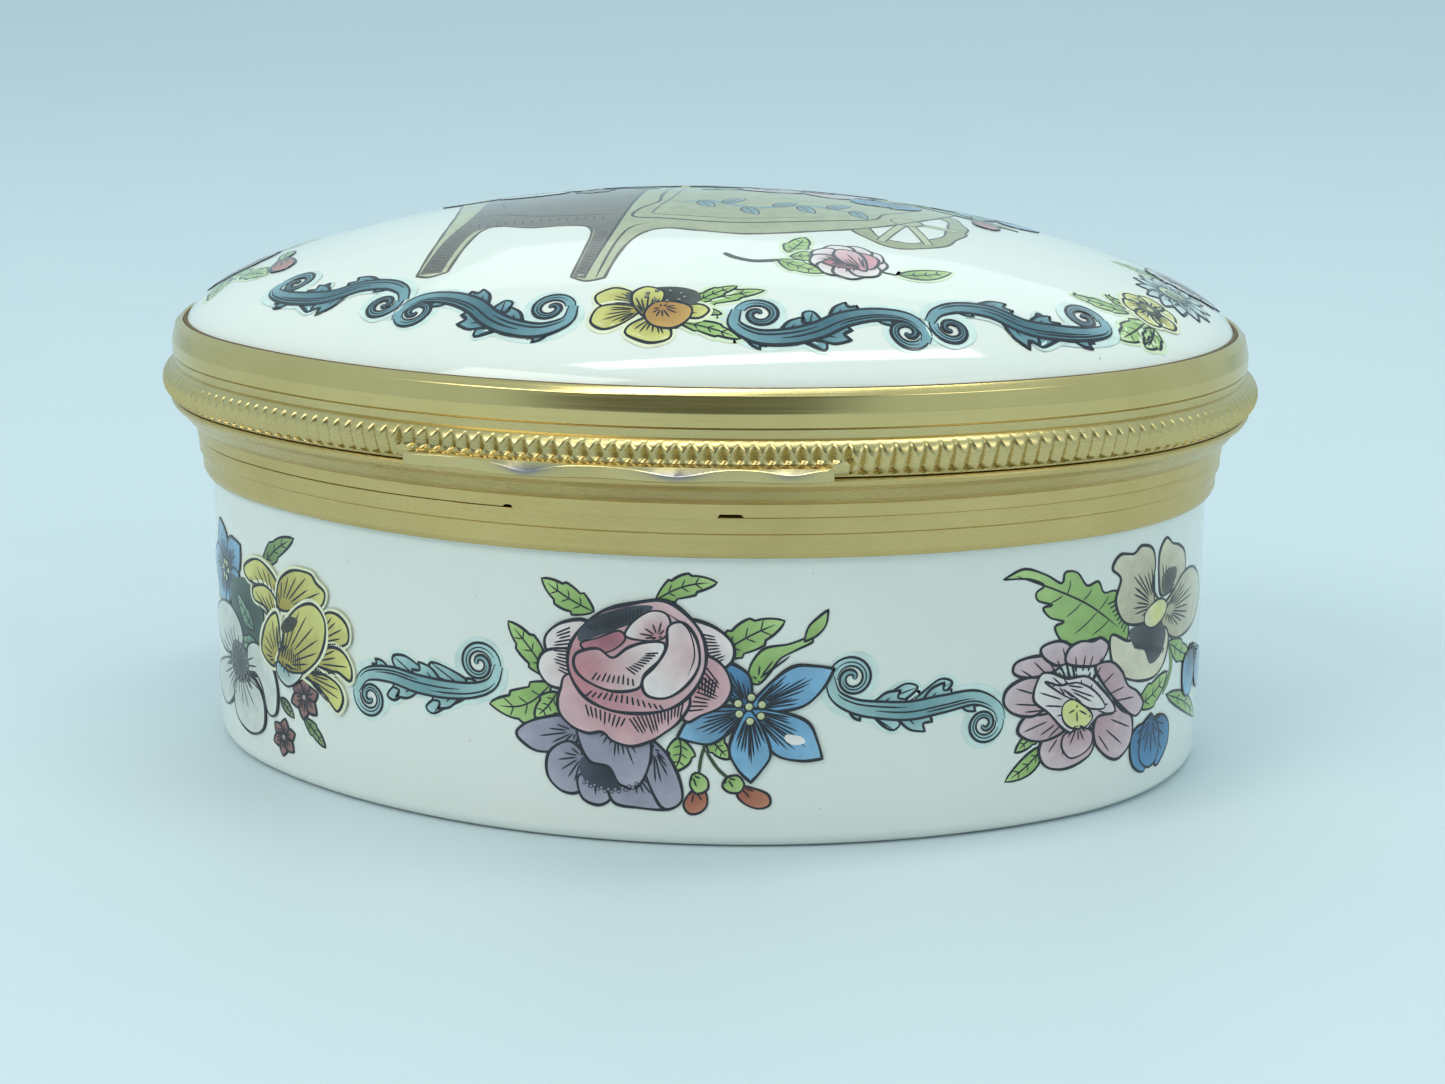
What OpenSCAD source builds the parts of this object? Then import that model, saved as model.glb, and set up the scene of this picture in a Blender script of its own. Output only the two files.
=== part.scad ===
// Oval enamelled trinket box: two enamelled copper shells in gilt brass mounts,
// joined by a five-knuckle hinge at the back. Millimetres, +Z up, clasp at -Y.
// The plan is a four-arc oval. A mount's section is drawn as [offset, height]:
// the offset is measured outwards from the base wall's outer face.

/* [Outline] */
// Half the length of the base wall's outer face
wall_a = 26; // [25:0.5:28]
// Half the width of the base wall's outer face
wall_b = 20; // [19:0.5:21]
// Radius of the two end arcs
end_r = 16.5; // [15:0.5:17]

/* [Heights] */
// Height at which the lid parts from the base
parting_z = 18; // [17:0.5:20]
// Height of the lid's crown above the table
crown_z = 28.5; // [28:0.5:31]
// Depth of the base collar below the parting line
collar_drop = 4; // [3.5:0.25:5]

/* [Shells] */
// Thickness of the outer enamel
enamel_t = 0.35; // [0.25:0.05:0.45]
// Thickness of the copper
copper_t = 0.5; // [0.4:0.05:0.6]
// Thickness of the enamel lining
lining_t = 0.3; // [0.2:0.05:0.4]
// Outer radius of the base's bottom corner
foot_r = 0.7; // [0.5:0.1:1]
// Power that sets how flat the lid is on top
dome_power = 1.8; // [1.6:0.1:2.2]

/* [Hinge] */
// Radius of the hinge knuckles
knuckle_r = 1.0; // [0.9:0.05:1.1]
// Length of one knuckle
knuckle_l = 3.2; // [2.6:0.2:3.6]
// Radius of the hinge pin
pin_r = 0.45; // [0.4:0.05:0.5]

/* [Clasp] */
// Length of the thumb piece
thumb_l = 19.9; // [16:0.5:21]
// How far the thumb piece stands out from the wall
thumb_out = 3.3; // [3.1:0.1:3.6]

/* [Hidden] */
$fn = 180;

// Oval: end arcs centred on the X axis, side arcs centred on the Y axis
side_r = (wall_a ^ 2 + wall_b ^ 2 - 2 * wall_a * end_r) / (2 * (wall_b - end_r));
end_c = wall_a - end_r;
side_c = side_r - wall_b;
end_half = atan2(side_c, end_c);

// Shells
shell_t = enamel_t + copper_t + lining_t;
shell_top = parting_z - 1.1;
dome_off = 1.1;
dome_root = 1.65;
dome_rings = 8;
corner_min = 0.1;

// Mounts
joint_gap = 0.06;
collar_z = parting_z - collar_drop;
seam_z = parting_z - 2.0;
cement_t = 0.08;
rim_out = 1.95;
milled_out = 2.35;
bead_out = 1.8;
groove_z = parting_z + 2.2;
rim_top = parting_z + 2.7;
skirt_z = rim_top;
spring_z = rim_top + 0.9;
lip_in = -1.65;
lip_out = -1.2;
lip_top = parting_z + 1.6;
liner_in = -0.85;
liner_out = -0.35;
pip_l = 2.4;
pip_r = 0.22;

// Hinge, with its axis on the parting line behind the rims
axis_y = wall_b + 3.5;
axis_z = parting_z;
knuckle_gap = 0.12;
pitch = knuckle_l + knuckle_gap;
leaf_l = 5 * knuckle_l + 4 * knuckle_gap;
leaf_t = 0.9;
leaf_back = knuckle_r + 0.15;
seat_y = wall_b + 0.9;
turn_gap = 0.05;

// Thumb piece
thumb_root = 1.9;
thumb_face = 0.45;
thumb_top = parting_z + 0.75;
thumb_half = asin(thumb_l / 2 / (side_r + thumb_out));
file_cut = 0.45;
file_cuts = [[-7.4, 6], [-0.5, 6], [5.4, 4.5]];

GILT = "goldenrod";
ENAMEL = "ivory";
COPPER = "chocolate";
CEMENT = "tan";

// ---- Oval helpers ----

function arc(cx, cy, r, from, to, n) =
    [for (i = [0:n - 1]) let (t = from + (to - from) * i / n)
        [cx + r * cos(t), cy + r * sin(t)]];

// Points round the oval at an offset, anticlockwise from the right-hand end arc
function oval(off, n) = concat(
    arc(end_c, 0, end_r + off, -end_half, end_half, n),
    arc(0, -side_c, side_r + off, end_half, 180 - end_half, n),
    arc(-end_c, 0, end_r + off, 180 - end_half, 180 + end_half, n),
    arc(0, side_c, side_r + off, 180 + end_half, 360 - end_half, n)
);

// Carries a section round the oval
module sweep(section) {
    for (turn = [0, 180]) rotate([0, 0, turn]) {
        translate([end_c, 0, 0]) rotate([0, 0, -end_half])
            rotate_extrude(angle = 2 * end_half)
                polygon([for (p = section) [end_r + p[0], p[1]]]);
        translate([0, -side_c, 0]) rotate([0, 0, end_half])
            rotate_extrude(angle = 180 - 2 * end_half)
                polygon([for (p = section) [side_r + p[0], p[1]]]);
    }
}

// Solid oval block: the section is given from its bottom edge up to its top edge
module block(section) {
    low = section[0][1];
    high = section[len(section) - 1][1];
    for (turn = [0, 180]) rotate([0, 0, turn]) {
        translate([end_c, 0, 0]) rotate([0, 0, -end_half])
            rotate_extrude(angle = 2 * end_half)
                polygon(concat([[0, low]], [for (p = section) [end_r + p[0], p[1]]], [[0, high]]));
        translate([0, -side_c, 0]) rotate([0, 0, end_half])
            rotate_extrude(angle = 180 - 2 * end_half)
                polygon(concat([[0, low]], [for (p = section) [side_r + p[0], p[1]]], [[0, high]]));
    }
}

module band(inner, outer, low, high) {
    sweep([[inner, low], [outer, low], [outer, high], [inner, high]]);
}

// Carries a section along the front side arc, half is its half angle
module front_arc(section, half) {
    translate([0, side_c, 0]) rotate([0, 0, 270 - half])
        rotate_extrude(angle = 2 * half) polygon([for (p = section) [side_r + p[0], p[1]]]);
}

// ---- Base shell: three layers of one pressed cup ----

// Solid with the shape of the cup's face that lies a depth below the outer one
module cup_body(depth, top) {
    r = max(foot_r - depth, corner_min);
    block([
        [-depth - r, depth], [-depth - 0.5 * r, depth + 0.14 * r],
        [-depth - 0.14 * r, depth + 0.5 * r], [-depth, depth + r], [-depth, top]
    ]);
}

// One layer of the cup, between two depths
module cup_layer(out_t, in_t) {
    difference() {
        cup_body(out_t, shell_top);
        cup_body(in_t, shell_top + 1);
    }
}

module base_enamel() {
    color(ENAMEL) cup_layer(0, enamel_t);
}

module base_copper() {
    color(COPPER) cup_layer(enamel_t, enamel_t + copper_t);
}

module base_lining() {
    color(ENAMEL) cup_layer(enamel_t + copper_t, shell_t);
}

// ---- Base mount ----

module base_cement() {
    color(CEMENT) band(0, cement_t, collar_z + 0.25, shell_top);
}

module base_collar() {
    color(GILT) sweep([
        [cement_t, collar_z], [0.28, collar_z], [0.42, collar_z + 0.15],
        [0.45, collar_z + 1.1], [0.62, collar_z + 1.25], [0.65, seam_z - 0.1],
        [0.6, seam_z], [cement_t, seam_z]
    ]);
}

// Flange that the lid closes on, resting on the shell's top edge
module base_rim() {
    color(GILT) difference() {
        sweep([
            [cement_t, seam_z + 0.04], [0.74, seam_z + 0.04], [0.8, seam_z + 0.14],
            [1.1, parting_z - 1.2], [1.5, parting_z - 0.7], [1.8, parting_z - 0.35],
            [rim_out, parting_z - 0.12],
            [rim_out - 0.1, parting_z], [lip_out, parting_z], [lip_out, shell_top],
            [cement_t, shell_top]
        ]);
        leaf_seat(parting_z - leaf_t, leaf_t + 1);
    }
}

// Thin strip inside the rim that guides the lid on
module base_lip() {
    color(GILT) sweep([
        [lip_in, collar_z + 0.8], [lip_out, collar_z + 0.8], [lip_out, lip_top - 0.25],
        [lip_out - 0.12, lip_top], [lip_in + 0.1, lip_top], [lip_in, lip_top - 0.1]
    ]);
}

// Small raised pip on the front of the lip, for the snap
module catch_pip() {
    color(GILT) difference() {
        translate([-pip_l / 2, -(wall_b + lip_out), parting_z + 0.8])
            rotate([0, 90, 0]) cylinder(r = pip_r, h = pip_l);
        translate([0, side_c, parting_z]) cylinder(r = side_r + lip_out, h = 2);
    }
}

// ---- Lid shell: three layers of one domed pressing ----

function crown(k, top) = spring_z + (top - spring_z) * (1 - k ^ dome_power) ^ (1 / dome_root);

// Rings of one face of the dome, from the skirt's foot upwards; the crown point comes last
function dome_face(depth, n) = let (edge = oval(dome_off - depth, n)) concat(
    [for (p = edge) [p[0], p[1], skirt_z]],
    [for (i = [0:dome_rings - 1]) let (k = cos(90 * i / dome_rings))
        for (p = edge) [k * p[0], k * p[1], crown(k, crown_z - depth)]],
    [[0, 0, crown_z - depth]]
);

module dome_layer(out_t, in_t) {
    n = 16;
    m = 4 * n;
    shift = m * (dome_rings + 1) + 1;
    points = concat(dome_face(out_t, n), dome_face(in_t, n));
    skin = [for (j = [0:dome_rings - 1], i = [0:m - 1])
        let (a = j * m + i, b = j * m + (i + 1) % m)
            each [[a, a + m, b + m], [a, b + m, b]]];
    cap = [for (i = [0:m - 1])
        [dome_rings * m + i, shift - 1, dome_rings * m + (i + 1) % m]];
    foot = [for (i = [0:m - 1]) let (b = (i + 1) % m)
        each [[i, b, b + shift], [i, b + shift, i + shift]]];
    outer = concat(skin, cap);
    lining = [for (f = outer) [f[0] + shift, f[2] + shift, f[1] + shift]];
    polyhedron(points, concat(outer, lining, foot));
}

module lid_enamel() {
    color(ENAMEL) dome_layer(0, enamel_t);
}

module lid_copper() {
    color(COPPER) dome_layer(enamel_t, enamel_t + copper_t);
}

module lid_lining() {
    color(ENAMEL) dome_layer(enamel_t + copper_t, shell_t);
}

// ---- Lid mount ----

module lid_cement() {
    color(CEMENT) sweep([
        [dome_off, skirt_z], [dome_off + cement_t, skirt_z],
        [dome_off + cement_t, spring_z + 0.1], [dome_off, spring_z + 0.1]
    ]);
}

// Smooth upper moulding, turned in over the edge of the enamel
module lid_collar() {
    inner = dome_off + cement_t;
    color(GILT) sweep([
        [inner, groove_z], [bead_out - 0.12, groove_z], [bead_out - 0.03, groove_z + 0.15],
        [bead_out, groove_z + 0.4], [bead_out - 0.06, groove_z + 0.9],
        [bead_out - 0.3, groove_z + 1.5], [inner + 0.12, rim_top + 1.3], [inner, rim_top + 1.3]
    ]);
}

// Half-round moulding with the milled edge
module lid_milled_rim() {
    inner = dome_off + cement_t;
    color(GILT) difference() {
        sweep([
            [liner_out, parting_z + joint_gap], [rim_out, parting_z + joint_gap],
            [milled_out - 0.2, parting_z + 0.35], [milled_out - 0.05, parting_z + 0.6],
            [milled_out, parting_z + 0.9], [milled_out - 0.05, parting_z + 1.3],
            [milled_out - 0.2, parting_z + 1.65], [milled_out - 0.45, parting_z + 1.95],
            [milled_out - 0.6, groove_z], [inner, groove_z], [inner, rim_top],
            [liner_out, rim_top]
        ]);
        thumb_slot();
        leaf_seat(parting_z - 1, 1 + joint_gap + leaf_t);
    }
}

// Inner strip that slides over the base lip
module lid_liner() {
    color(GILT) difference() {
        sweep([
            [liner_in, parting_z + joint_gap], [liner_out, parting_z + joint_gap],
            [liner_out, rim_top], [liner_in, rim_top]
        ]);
        // pocket for the catch pip, open below
        translate([-1.5, -(wall_b + liner_in) - 0.15, parting_z - 0.5]) cube([3, 0.4, 1.6]);
    }
}

module thumb_slot() {
    far = thumb_out + 1;
    front_arc([
        [thumb_root, parting_z - 1], [far, parting_z - 1], [far, thumb_top], [thumb_root, thumb_top]
    ], thumb_half);
}

// Flared lip with a filed, wavy front edge
module thumb_piece() {
    low = parting_z + joint_gap;
    color(GILT) difference() {
        front_arc([
            [thumb_root, low], [thumb_out, low], [thumb_out, low + thumb_face],
            [2.2, thumb_top], [thumb_root, thumb_top]
        ], thumb_half);
        for (c = file_cuts) file_groove(c[0], c[1]);
    }
}

// A round file's upright cut in the lip's front, at x with radius r
module file_groove(x, r) {
    front = side_c - sqrt((side_r + thumb_out) ^ 2 - x ^ 2);
    translate([x, front + file_cut - r, parting_z - 1]) cylinder(r = r, h = 3);
}

// ---- Hinge ----

// Flat filed on the back of a rim for a hinge leaf
module leaf_seat(low, high) {
    translate([-leaf_l / 2, seat_y, low]) cube([leaf_l, 4, high]);
}

// Knuckle number 0 to 4 from the left
module knuckle(index, bore_r) {
    x = -leaf_l / 2 + index * pitch;
    color(GILT) translate([x, axis_y, axis_z]) rotate([0, 90, 0]) difference() {
        cylinder(r = knuckle_r, h = knuckle_l);
        translate([0, 0, -1]) cylinder(r = bore_r, h = knuckle_l + 2);
    }
}

// Plate between a rim's flat and its knuckles, with a web to each knuckle
module leaf(low, indices) {
    color(GILT) difference() {
        union() {
            translate([-leaf_l / 2, seat_y, low])
                cube([leaf_l, axis_y - leaf_back - seat_y, leaf_t]);
            for (i = indices)
                translate([-leaf_l / 2 + i * pitch, seat_y, low])
                    cube([knuckle_l, axis_y - seat_y, leaf_t]);
        }
        for (i = indices)
            translate([-leaf_l / 2 + i * pitch - 0.01, axis_y, axis_z]) rotate([0, 90, 0])
                cylinder(r = knuckle_r, h = knuckle_l + 0.02);
    }
}

module base_hinge_leaf() {
    leaf(axis_z - leaf_t, [0, 2, 4]);
}

module base_knuckle_left() {
    knuckle(0, pin_r);
}

module base_knuckle_centre() {
    knuckle(2, pin_r);
}

module base_knuckle_right() {
    knuckle(4, pin_r);
}

module lid_hinge_leaf() {
    leaf(axis_z + joint_gap, [1, 3]);
}

module lid_knuckle_left() {
    knuckle(1, pin_r + turn_gap);
}

module lid_knuckle_right() {
    knuckle(3, pin_r + turn_gap);
}

module hinge_pin() {
    color("silver") translate([-leaf_l / 2, axis_y, axis_z]) rotate([0, 90, 0])
        cylinder(r = pin_r, h = leaf_l);
}

base_enamel();
base_copper();
base_lining();
base_cement();
base_collar();
base_rim();
base_lip();
catch_pip();
base_hinge_leaf();
base_knuckle_left();
base_knuckle_centre();
base_knuckle_right();
hinge_pin();
lid_enamel();
lid_copper();
lid_lining();
lid_cement();
lid_collar();
lid_milled_rim();
lid_liner();
thumb_piece();
lid_hinge_leaf();
lid_knuckle_left();
lid_knuckle_right();
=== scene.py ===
# %% [markdown]
# # An oval enamelled trinket box
#
# A box of this kind is two thin copper pressings, coated inside and out with
# glass enamel, painted by hand and fired again. Each pressing sits in a gilt
# brass mount. The two mounts meet on one plane, a hinge joins them at the back
# and a small wavy lip at the front takes the thumb.
#
# The solid model gives every size. This lesson gives it its looks: smooth
# enamel, drawn and milled brass, and the painting, which lies on the enamel as
# thin raised glass and so is made as geometry.

# %% Load the solid model
import math
import random

import bpy
from mathutils import Matrix, Vector
from mathutils.geometry import delaunay_2d_cdt


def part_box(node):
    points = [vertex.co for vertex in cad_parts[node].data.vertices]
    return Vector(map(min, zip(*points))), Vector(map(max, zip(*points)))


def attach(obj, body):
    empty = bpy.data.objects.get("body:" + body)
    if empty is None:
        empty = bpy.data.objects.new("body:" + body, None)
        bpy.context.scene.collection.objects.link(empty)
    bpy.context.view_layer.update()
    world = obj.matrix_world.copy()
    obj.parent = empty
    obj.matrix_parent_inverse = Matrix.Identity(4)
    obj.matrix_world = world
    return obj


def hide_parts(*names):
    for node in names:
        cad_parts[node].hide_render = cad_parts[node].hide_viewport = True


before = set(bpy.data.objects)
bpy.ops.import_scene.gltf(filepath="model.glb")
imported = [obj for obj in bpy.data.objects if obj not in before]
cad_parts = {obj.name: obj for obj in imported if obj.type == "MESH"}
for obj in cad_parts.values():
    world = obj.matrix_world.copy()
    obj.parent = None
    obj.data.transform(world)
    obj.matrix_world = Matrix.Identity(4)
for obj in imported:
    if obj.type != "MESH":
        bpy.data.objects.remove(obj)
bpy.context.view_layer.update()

# %% [markdown]
# ## Sizes
#
# All sizes are in millimetres and turn into metres only when a mesh is made.
# The plan is an oval of four arcs. A point of a mount is given by how far it
# stands out from the wall of the base, and by its height. Since all the ovals
# share the same four centres, one angle, that of the outward normal, places a
# point on any of them.

# %% Sizes
MM = 0.001
WALL_A, WALL_B, END_R = 26.0, 20.0, 16.5
SIDE_R = (WALL_A ** 2 + WALL_B ** 2 - 2 * WALL_A * END_R) / (2 * (WALL_B - END_R))
END_C = WALL_A - END_R
SIDE_C = SIDE_R - WALL_B
END_HALF = math.atan2(SIDE_C, END_C)
FRONT = -math.pi / 2

PART_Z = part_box("base_rim")[1][2] / MM
PAINT_PROUD = 0.12
CROWN_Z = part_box("lid_enamel")[1][2] / MM - PAINT_PROUD
SHELL_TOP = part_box("base_enamel")[1][2] / MM
HINGE_Y = (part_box("hinge_pin")[0][1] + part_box("hinge_pin")[1][1]) / 2 / MM
GAP = 0.06
RIM_TOP = PART_Z + 2.7
SPRING_Z = RIM_TOP + 0.9
DOME_OFF = 1.1
ENAMEL, COPPER, LINING = 0.35, 0.5, 0.3
print("parting plane", round(PART_Z, 2), "crown", round(CROWN_Z, 2), "hinge y", round(HINGE_Y, 2))

# %% [markdown]
# ## Walking round the oval
#
# Milling, brush marks and painting all have to keep an even spacing along the
# wall, so most of the work is done in arc length: `u` is the distance in
# millimetres from the middle of the front, positive to the right.

# %% Points on the oval
def oval_point(off, phi):
    """The point of the oval at an offset whose outward normal has the angle phi."""
    turn = (phi + math.pi) % (2 * math.pi) - math.pi
    if abs(turn) <= END_HALF:
        cx, cy, r = END_C, 0.0, END_R
    elif abs(turn) >= math.pi - END_HALF:
        cx, cy, r = -END_C, 0.0, END_R
    elif turn > 0:
        cx, cy, r = 0.0, -SIDE_C, SIDE_R
    else:
        cx, cy, r = 0.0, SIDE_C, SIDE_R
    return cx + (r + off) * math.cos(phi), cy + (r + off) * math.sin(phi)


def oval_length(off):
    """The length of the oval at an offset."""
    return 4 * END_HALF * (END_R + off) + (2 * math.pi - 4 * END_HALF) * (SIDE_R + off)


def normal_angle(u, off=0.0):
    """The angle of the outward normal at arc length u from the middle of the front."""
    side = (math.pi - 2 * END_HALF) * (SIDE_R + off)
    end = 2 * END_HALF * (END_R + off)
    total = 2 * (side + end)
    s = (u + side / 2) % total
    phi = FRONT - (math.pi / 2 - END_HALF)
    for length, radius in ((side, SIDE_R), (end, END_R), (side, SIDE_R), (end, END_R)):
        if s <= length:
            return phi + s / (radius + off)
        s -= length
        phi += length / (radius + off)
    return phi


print("wall is", round(oval_length(0), 1), "mm round")

# %% [markdown]
# ## Meshes swept round the oval
#
# Drawn brass mouldings and pressed shells are both one section carried round
# the plan. The corners of a real moulding are never sharp, so each section is
# given as corner points with a radius, and the radius is turned into a short
# arc before it is swept. Modelling every moulding with a bevel would also do,
# but the section keeps the sizes in plain sight.

# %% Rounded sections
EDGE_SHARE = 0.49  # an arc takes at most this share of the edges beside it


def rounded(corners, steps=4):
    """Corner points (offset, height, radius) of a closed section, with their arcs."""
    out = []
    for i, corner in enumerate(corners):
        here = Vector(corner[:2])
        if len(corner) < 3:
            out.append(here)
            continue
        before = Vector(corners[i - 1][:2]) - here
        after = Vector(corners[(i + 1) % len(corners)][:2]) - here
        half = before.angle(after) / 2
        cut = min(corner[2] / math.tan(half), before.length * EDGE_SHARE, after.length * EDGE_SHARE)
        a = here + before.normalized() * cut
        b = here + after.normalized() * cut
        for k in range(steps + 1):
            t = k / steps
            out.append(a * (1 - t) ** 2 + here * 2 * t * (1 - t) + b * t ** 2)
    return [(p.x, p.y) for p in out]


def refined(section, step):
    """The same closed section with no edge longer than a step."""
    out = []
    for i, (x, z) in enumerate(section):
        nx, nz = section[(i + 1) % len(section)]
        parts = max(1, math.ceil(math.hypot(nx - x, nz - z) / step))
        out += [(x + (nx - x) * k / parts, z + (nz - z) * k / parts) for k in range(parts)]
    return out


# %% Make an object
def make_piece(name, verts, faces, body, material, nodes=(), slot=None, sharp=35, wrap=None):
    """A smooth-shaded piece from points in millimetres, riding on a body."""
    mesh = bpy.data.meshes.new(name)
    mesh.from_pydata([Vector(v) * MM for v in verts], [], faces)
    mesh.validate()
    if wrap:
        layer = mesh.uv_layers.new(name="wrap")
        for loop in mesh.loops:
            layer.data[loop.index].uv = wrap[loop.vertex_index]
    mesh.shade_smooth()
    if sharp:
        mesh.set_sharp_from_angle(angle=math.radians(sharp))
    mesh.materials.append(material)
    piece = bpy.data.objects.new(name, mesh)
    bpy.context.scene.collection.objects.link(piece)
    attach(piece, body)
    if nodes:
        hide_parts(*nodes)
    print(name, len(verts), "points", len(faces), "faces")
    return piece


# %% Carry a section round the oval
def swept(section, steps, shift=None, ref=0.0):
    """Points, faces and wrap coordinates of a closed section carried round the oval.

    shift(u, x, z) may move a section point to another (x, z) at arc length u,
    which is measured on the oval at the offset ref.
    """
    total = oval_length(ref)
    verts, faces, wrap = [], [], []
    n = len(section)
    run = [0.0]
    for i in range(n - 1):
        run.append(run[-1] + math.dist(section[i], section[i + 1]))
    for j in range(steps):
        u = -total / 2 + total * j / steps
        phi = normal_angle(u, ref)
        for i, (x, z) in enumerate(section):
            if shift:
                x, z = shift(u, x, z)
            px, py = oval_point(x, phi)
            verts.append((px, py, z))
            wrap.append((u, run[i]))
    for j in range(steps):
        k = (j + 1) % steps
        for i in range(n):
            m = (i + 1) % n
            faces.append((j * n + i, k * n + i, k * n + m, j * n + m))
    return verts, faces, wrap


# %% [markdown]
# ## Materials
#
# One helper adds a node, sets its properties and links its inputs, and another
# turns the sRGB hex value of a colour, as read off a colour chart, into the
# linear numbers the shader works in.

# %% Colour and node helpers
def linear(hex_value):
    """The sRGB colour #rrggbb as linear red, green, blue and alpha."""
    out = []
    for i in (1, 3, 5):
        c = int(hex_value[i:i + 2], 16) / 255
        out.append(c / 12.92 if c <= 0.04045 else ((c + 0.055) / 1.055) ** 2.4)
    return (*out, 1.0)


def node(tree, kind, inputs=None, **settings):
    """Adds a node; an input is a value to set or a socket to link from."""
    made = tree.nodes.new(kind)
    for key, value in settings.items():
        setattr(made, key, value)
    for key, value in (inputs or {}).items():
        if isinstance(value, bpy.types.NodeSocket):
            tree.links.new(value, made.inputs[key])
        else:
            made.inputs[key].default_value = value
    return made


def new_material(name):
    """An empty material with its shader, and the shader's node tree."""
    material = bpy.data.materials.new(name)
    material.use_nodes = True
    tree = material.node_tree
    tree.nodes.clear()
    shader = node(tree, "ShaderNodeBsdfPrincipled")
    node(tree, "ShaderNodeOutputMaterial", {"Surface": shader.outputs["BSDF"]})
    return material, tree, shader


# %% [markdown]
# ### Vitreous enamel, white
#
# Enamel is glass powder fired on to copper: an opaque white pool with a wet
# gloss and an IOR near 1.5. The eye sees three things in it. The surface lies
# in long shallow ripples a few millimetres across, the white drifts a little
# where the coat is thin, and kiln dust leaves tiny grey specks.

# %% White enamel
def enamel_white(name, light, shade, ripple=0.018):
    """Glossy fired enamel; ripple is the height of its waves in millimetres."""
    material, tree, shader = new_material(name)
    place = node(tree, "ShaderNodeTexCoord").outputs["Object"]
    drift = node(tree, "ShaderNodeTexNoise", {"Vector": place, "Scale": 1 / (9 * MM),
                                              "Detail": 3.0})
    tone = node(tree, "ShaderNodeMix", {
        "Factor": drift.outputs["Fac"], "A": linear(light), "B": linear(shade)},
        data_type="RGBA")
    dust = node(tree, "ShaderNodeTexNoise", {"Vector": place, "Scale": 1 / (0.35 * MM),
                                             "Detail": 1.0})
    spot = node(tree, "ShaderNodeMapRange", {
        "Value": dust.outputs["Fac"], "From Min": 0.79, "From Max": 0.84,
        "To Min": 0.0, "To Max": 0.45})
    coat = node(tree, "ShaderNodeMix", {
        "Factor": spot.outputs["Result"], "A": tone.outputs["Result"], "B": linear("#8A8C86")},
        data_type="RGBA")
    wave = node(tree, "ShaderNodeTexNoise", {"Vector": place, "Scale": 1 / (4.5 * MM),
                                             "Detail": 1.5})
    bump = node(tree, "ShaderNodeBump", {
        "Height": wave.outputs["Fac"], "Distance": ripple * MM, "Strength": 1.0})
    tree.links.new(coat.outputs["Result"], shader.inputs["Base Color"])
    tree.links.new(bump.outputs["Normal"], shader.inputs["Normal"])
    shader.inputs["Roughness"].default_value = 0.07
    shader.inputs["IOR"].default_value = 1.52
    return material


OUTER_ENAMEL = enamel_white("vitreous_enamel_white", "#F1EFE7", "#E9EAE3")
LINING_ENAMEL = enamel_white("vitreous_enamel_lining", "#F1EFE9", "#E9E9E3", ripple=0.03)
print("enamel:", OUTER_ENAMEL.name, LINING_ENAMEL.name)

# %% [markdown]
# ### Gilt brass, drawn and satin finished
#
# The mounts are brass strip pulled through a die, soldered into an oval and
# electro-gilded. Drawing leaves fine lines along the strip, which the plating
# follows, so highlights stretch into soft bands. The lines follow the `wrap`
# coordinates of the sweep: long along the strip and about 0.05 mm across. They
# are drawn here at 0.12 mm, the finest that shows. The metal keeps the default
# IOR, since its colour sets its reflection.

# %% Gilt brass
def gilt_brass(name, bright, dull, rough, lines=0.004, worn=None):
    """Satin gilt metal; lines is the depth of the drawing marks in millimetres."""
    material, tree, shader = new_material(name)
    wrap = node(tree, "ShaderNodeUVMap", uv_map="wrap").outputs["UV"]
    place = node(tree, "ShaderNodeTexCoord").outputs["Object"]
    strip = node(tree, "ShaderNodeMapping", {"Vector": wrap, "Scale": (0.12, 8.0, 1.0)})
    marks = node(tree, "ShaderNodeTexNoise", {"Vector": strip.outputs["Vector"], "Scale": 1.0,
                                              "Detail": 3.0})
    patch = node(tree, "ShaderNodeTexNoise", {"Vector": place, "Scale": 1 / (3 * MM),
                                              "Detail": 4.0})
    tone = node(tree, "ShaderNodeMix", {
        "Factor": patch.outputs["Fac"], "A": linear(bright), "B": linear(dull)},
        data_type="RGBA")
    colour = tone.outputs["Result"]
    if worn:
        rub = node(tree, "ShaderNodeAttribute", attribute_name="wear")
        bare = node(tree, "ShaderNodeMix", {
            "Factor": rub.outputs["Fac"], "A": colour, "B": linear(worn)}, data_type="RGBA")
        colour = bare.outputs["Result"]
    tree.links.new(colour, shader.inputs["Base Color"])
    satin = node(tree, "ShaderNodeMapRange", {
        "Value": marks.outputs["Fac"], "From Min": 0.3, "From Max": 0.7,
        "To Min": rough - 0.06, "To Max": rough + 0.08})
    tree.links.new(satin.outputs["Result"], shader.inputs["Roughness"])
    bump = node(tree, "ShaderNodeBump", {
        "Height": marks.outputs["Fac"], "Distance": lines * MM, "Strength": 0.6})
    tree.links.new(bump.outputs["Normal"], shader.inputs["Normal"])
    shader.inputs["Metallic"].default_value = 1.0
    return material


GILT = gilt_brass("gilt_brass_satin", "#DAC084", "#C6AC6E", 0.28)
GILT_BRIGHT = gilt_brass("gilt_brass_burnished", "#DFC88C", "#CFB678", 0.18, lines=0.002)
GILT_MILLED = gilt_brass("gilt_brass_milled", "#D9C48C", "#C9B278", 0.26)
GILT_WORN = gilt_brass("gilt_brass_rubbed", "#D9C48C", "#C8B27A", 0.22, worn="#8B868A")
print("brass:", [brass.name for brass in (GILT, GILT_BRIGHT, GILT_MILLED, GILT_WORN)])


# %% [markdown]
# ### The hidden metals and the cement
#
# The copper core shows nowhere once the box is made, but it is there if the
# layers are taken apart. The cement that beds each shell in its mount is a hard
# brown resin: it shows as a hair line where brass meets enamel.

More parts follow.
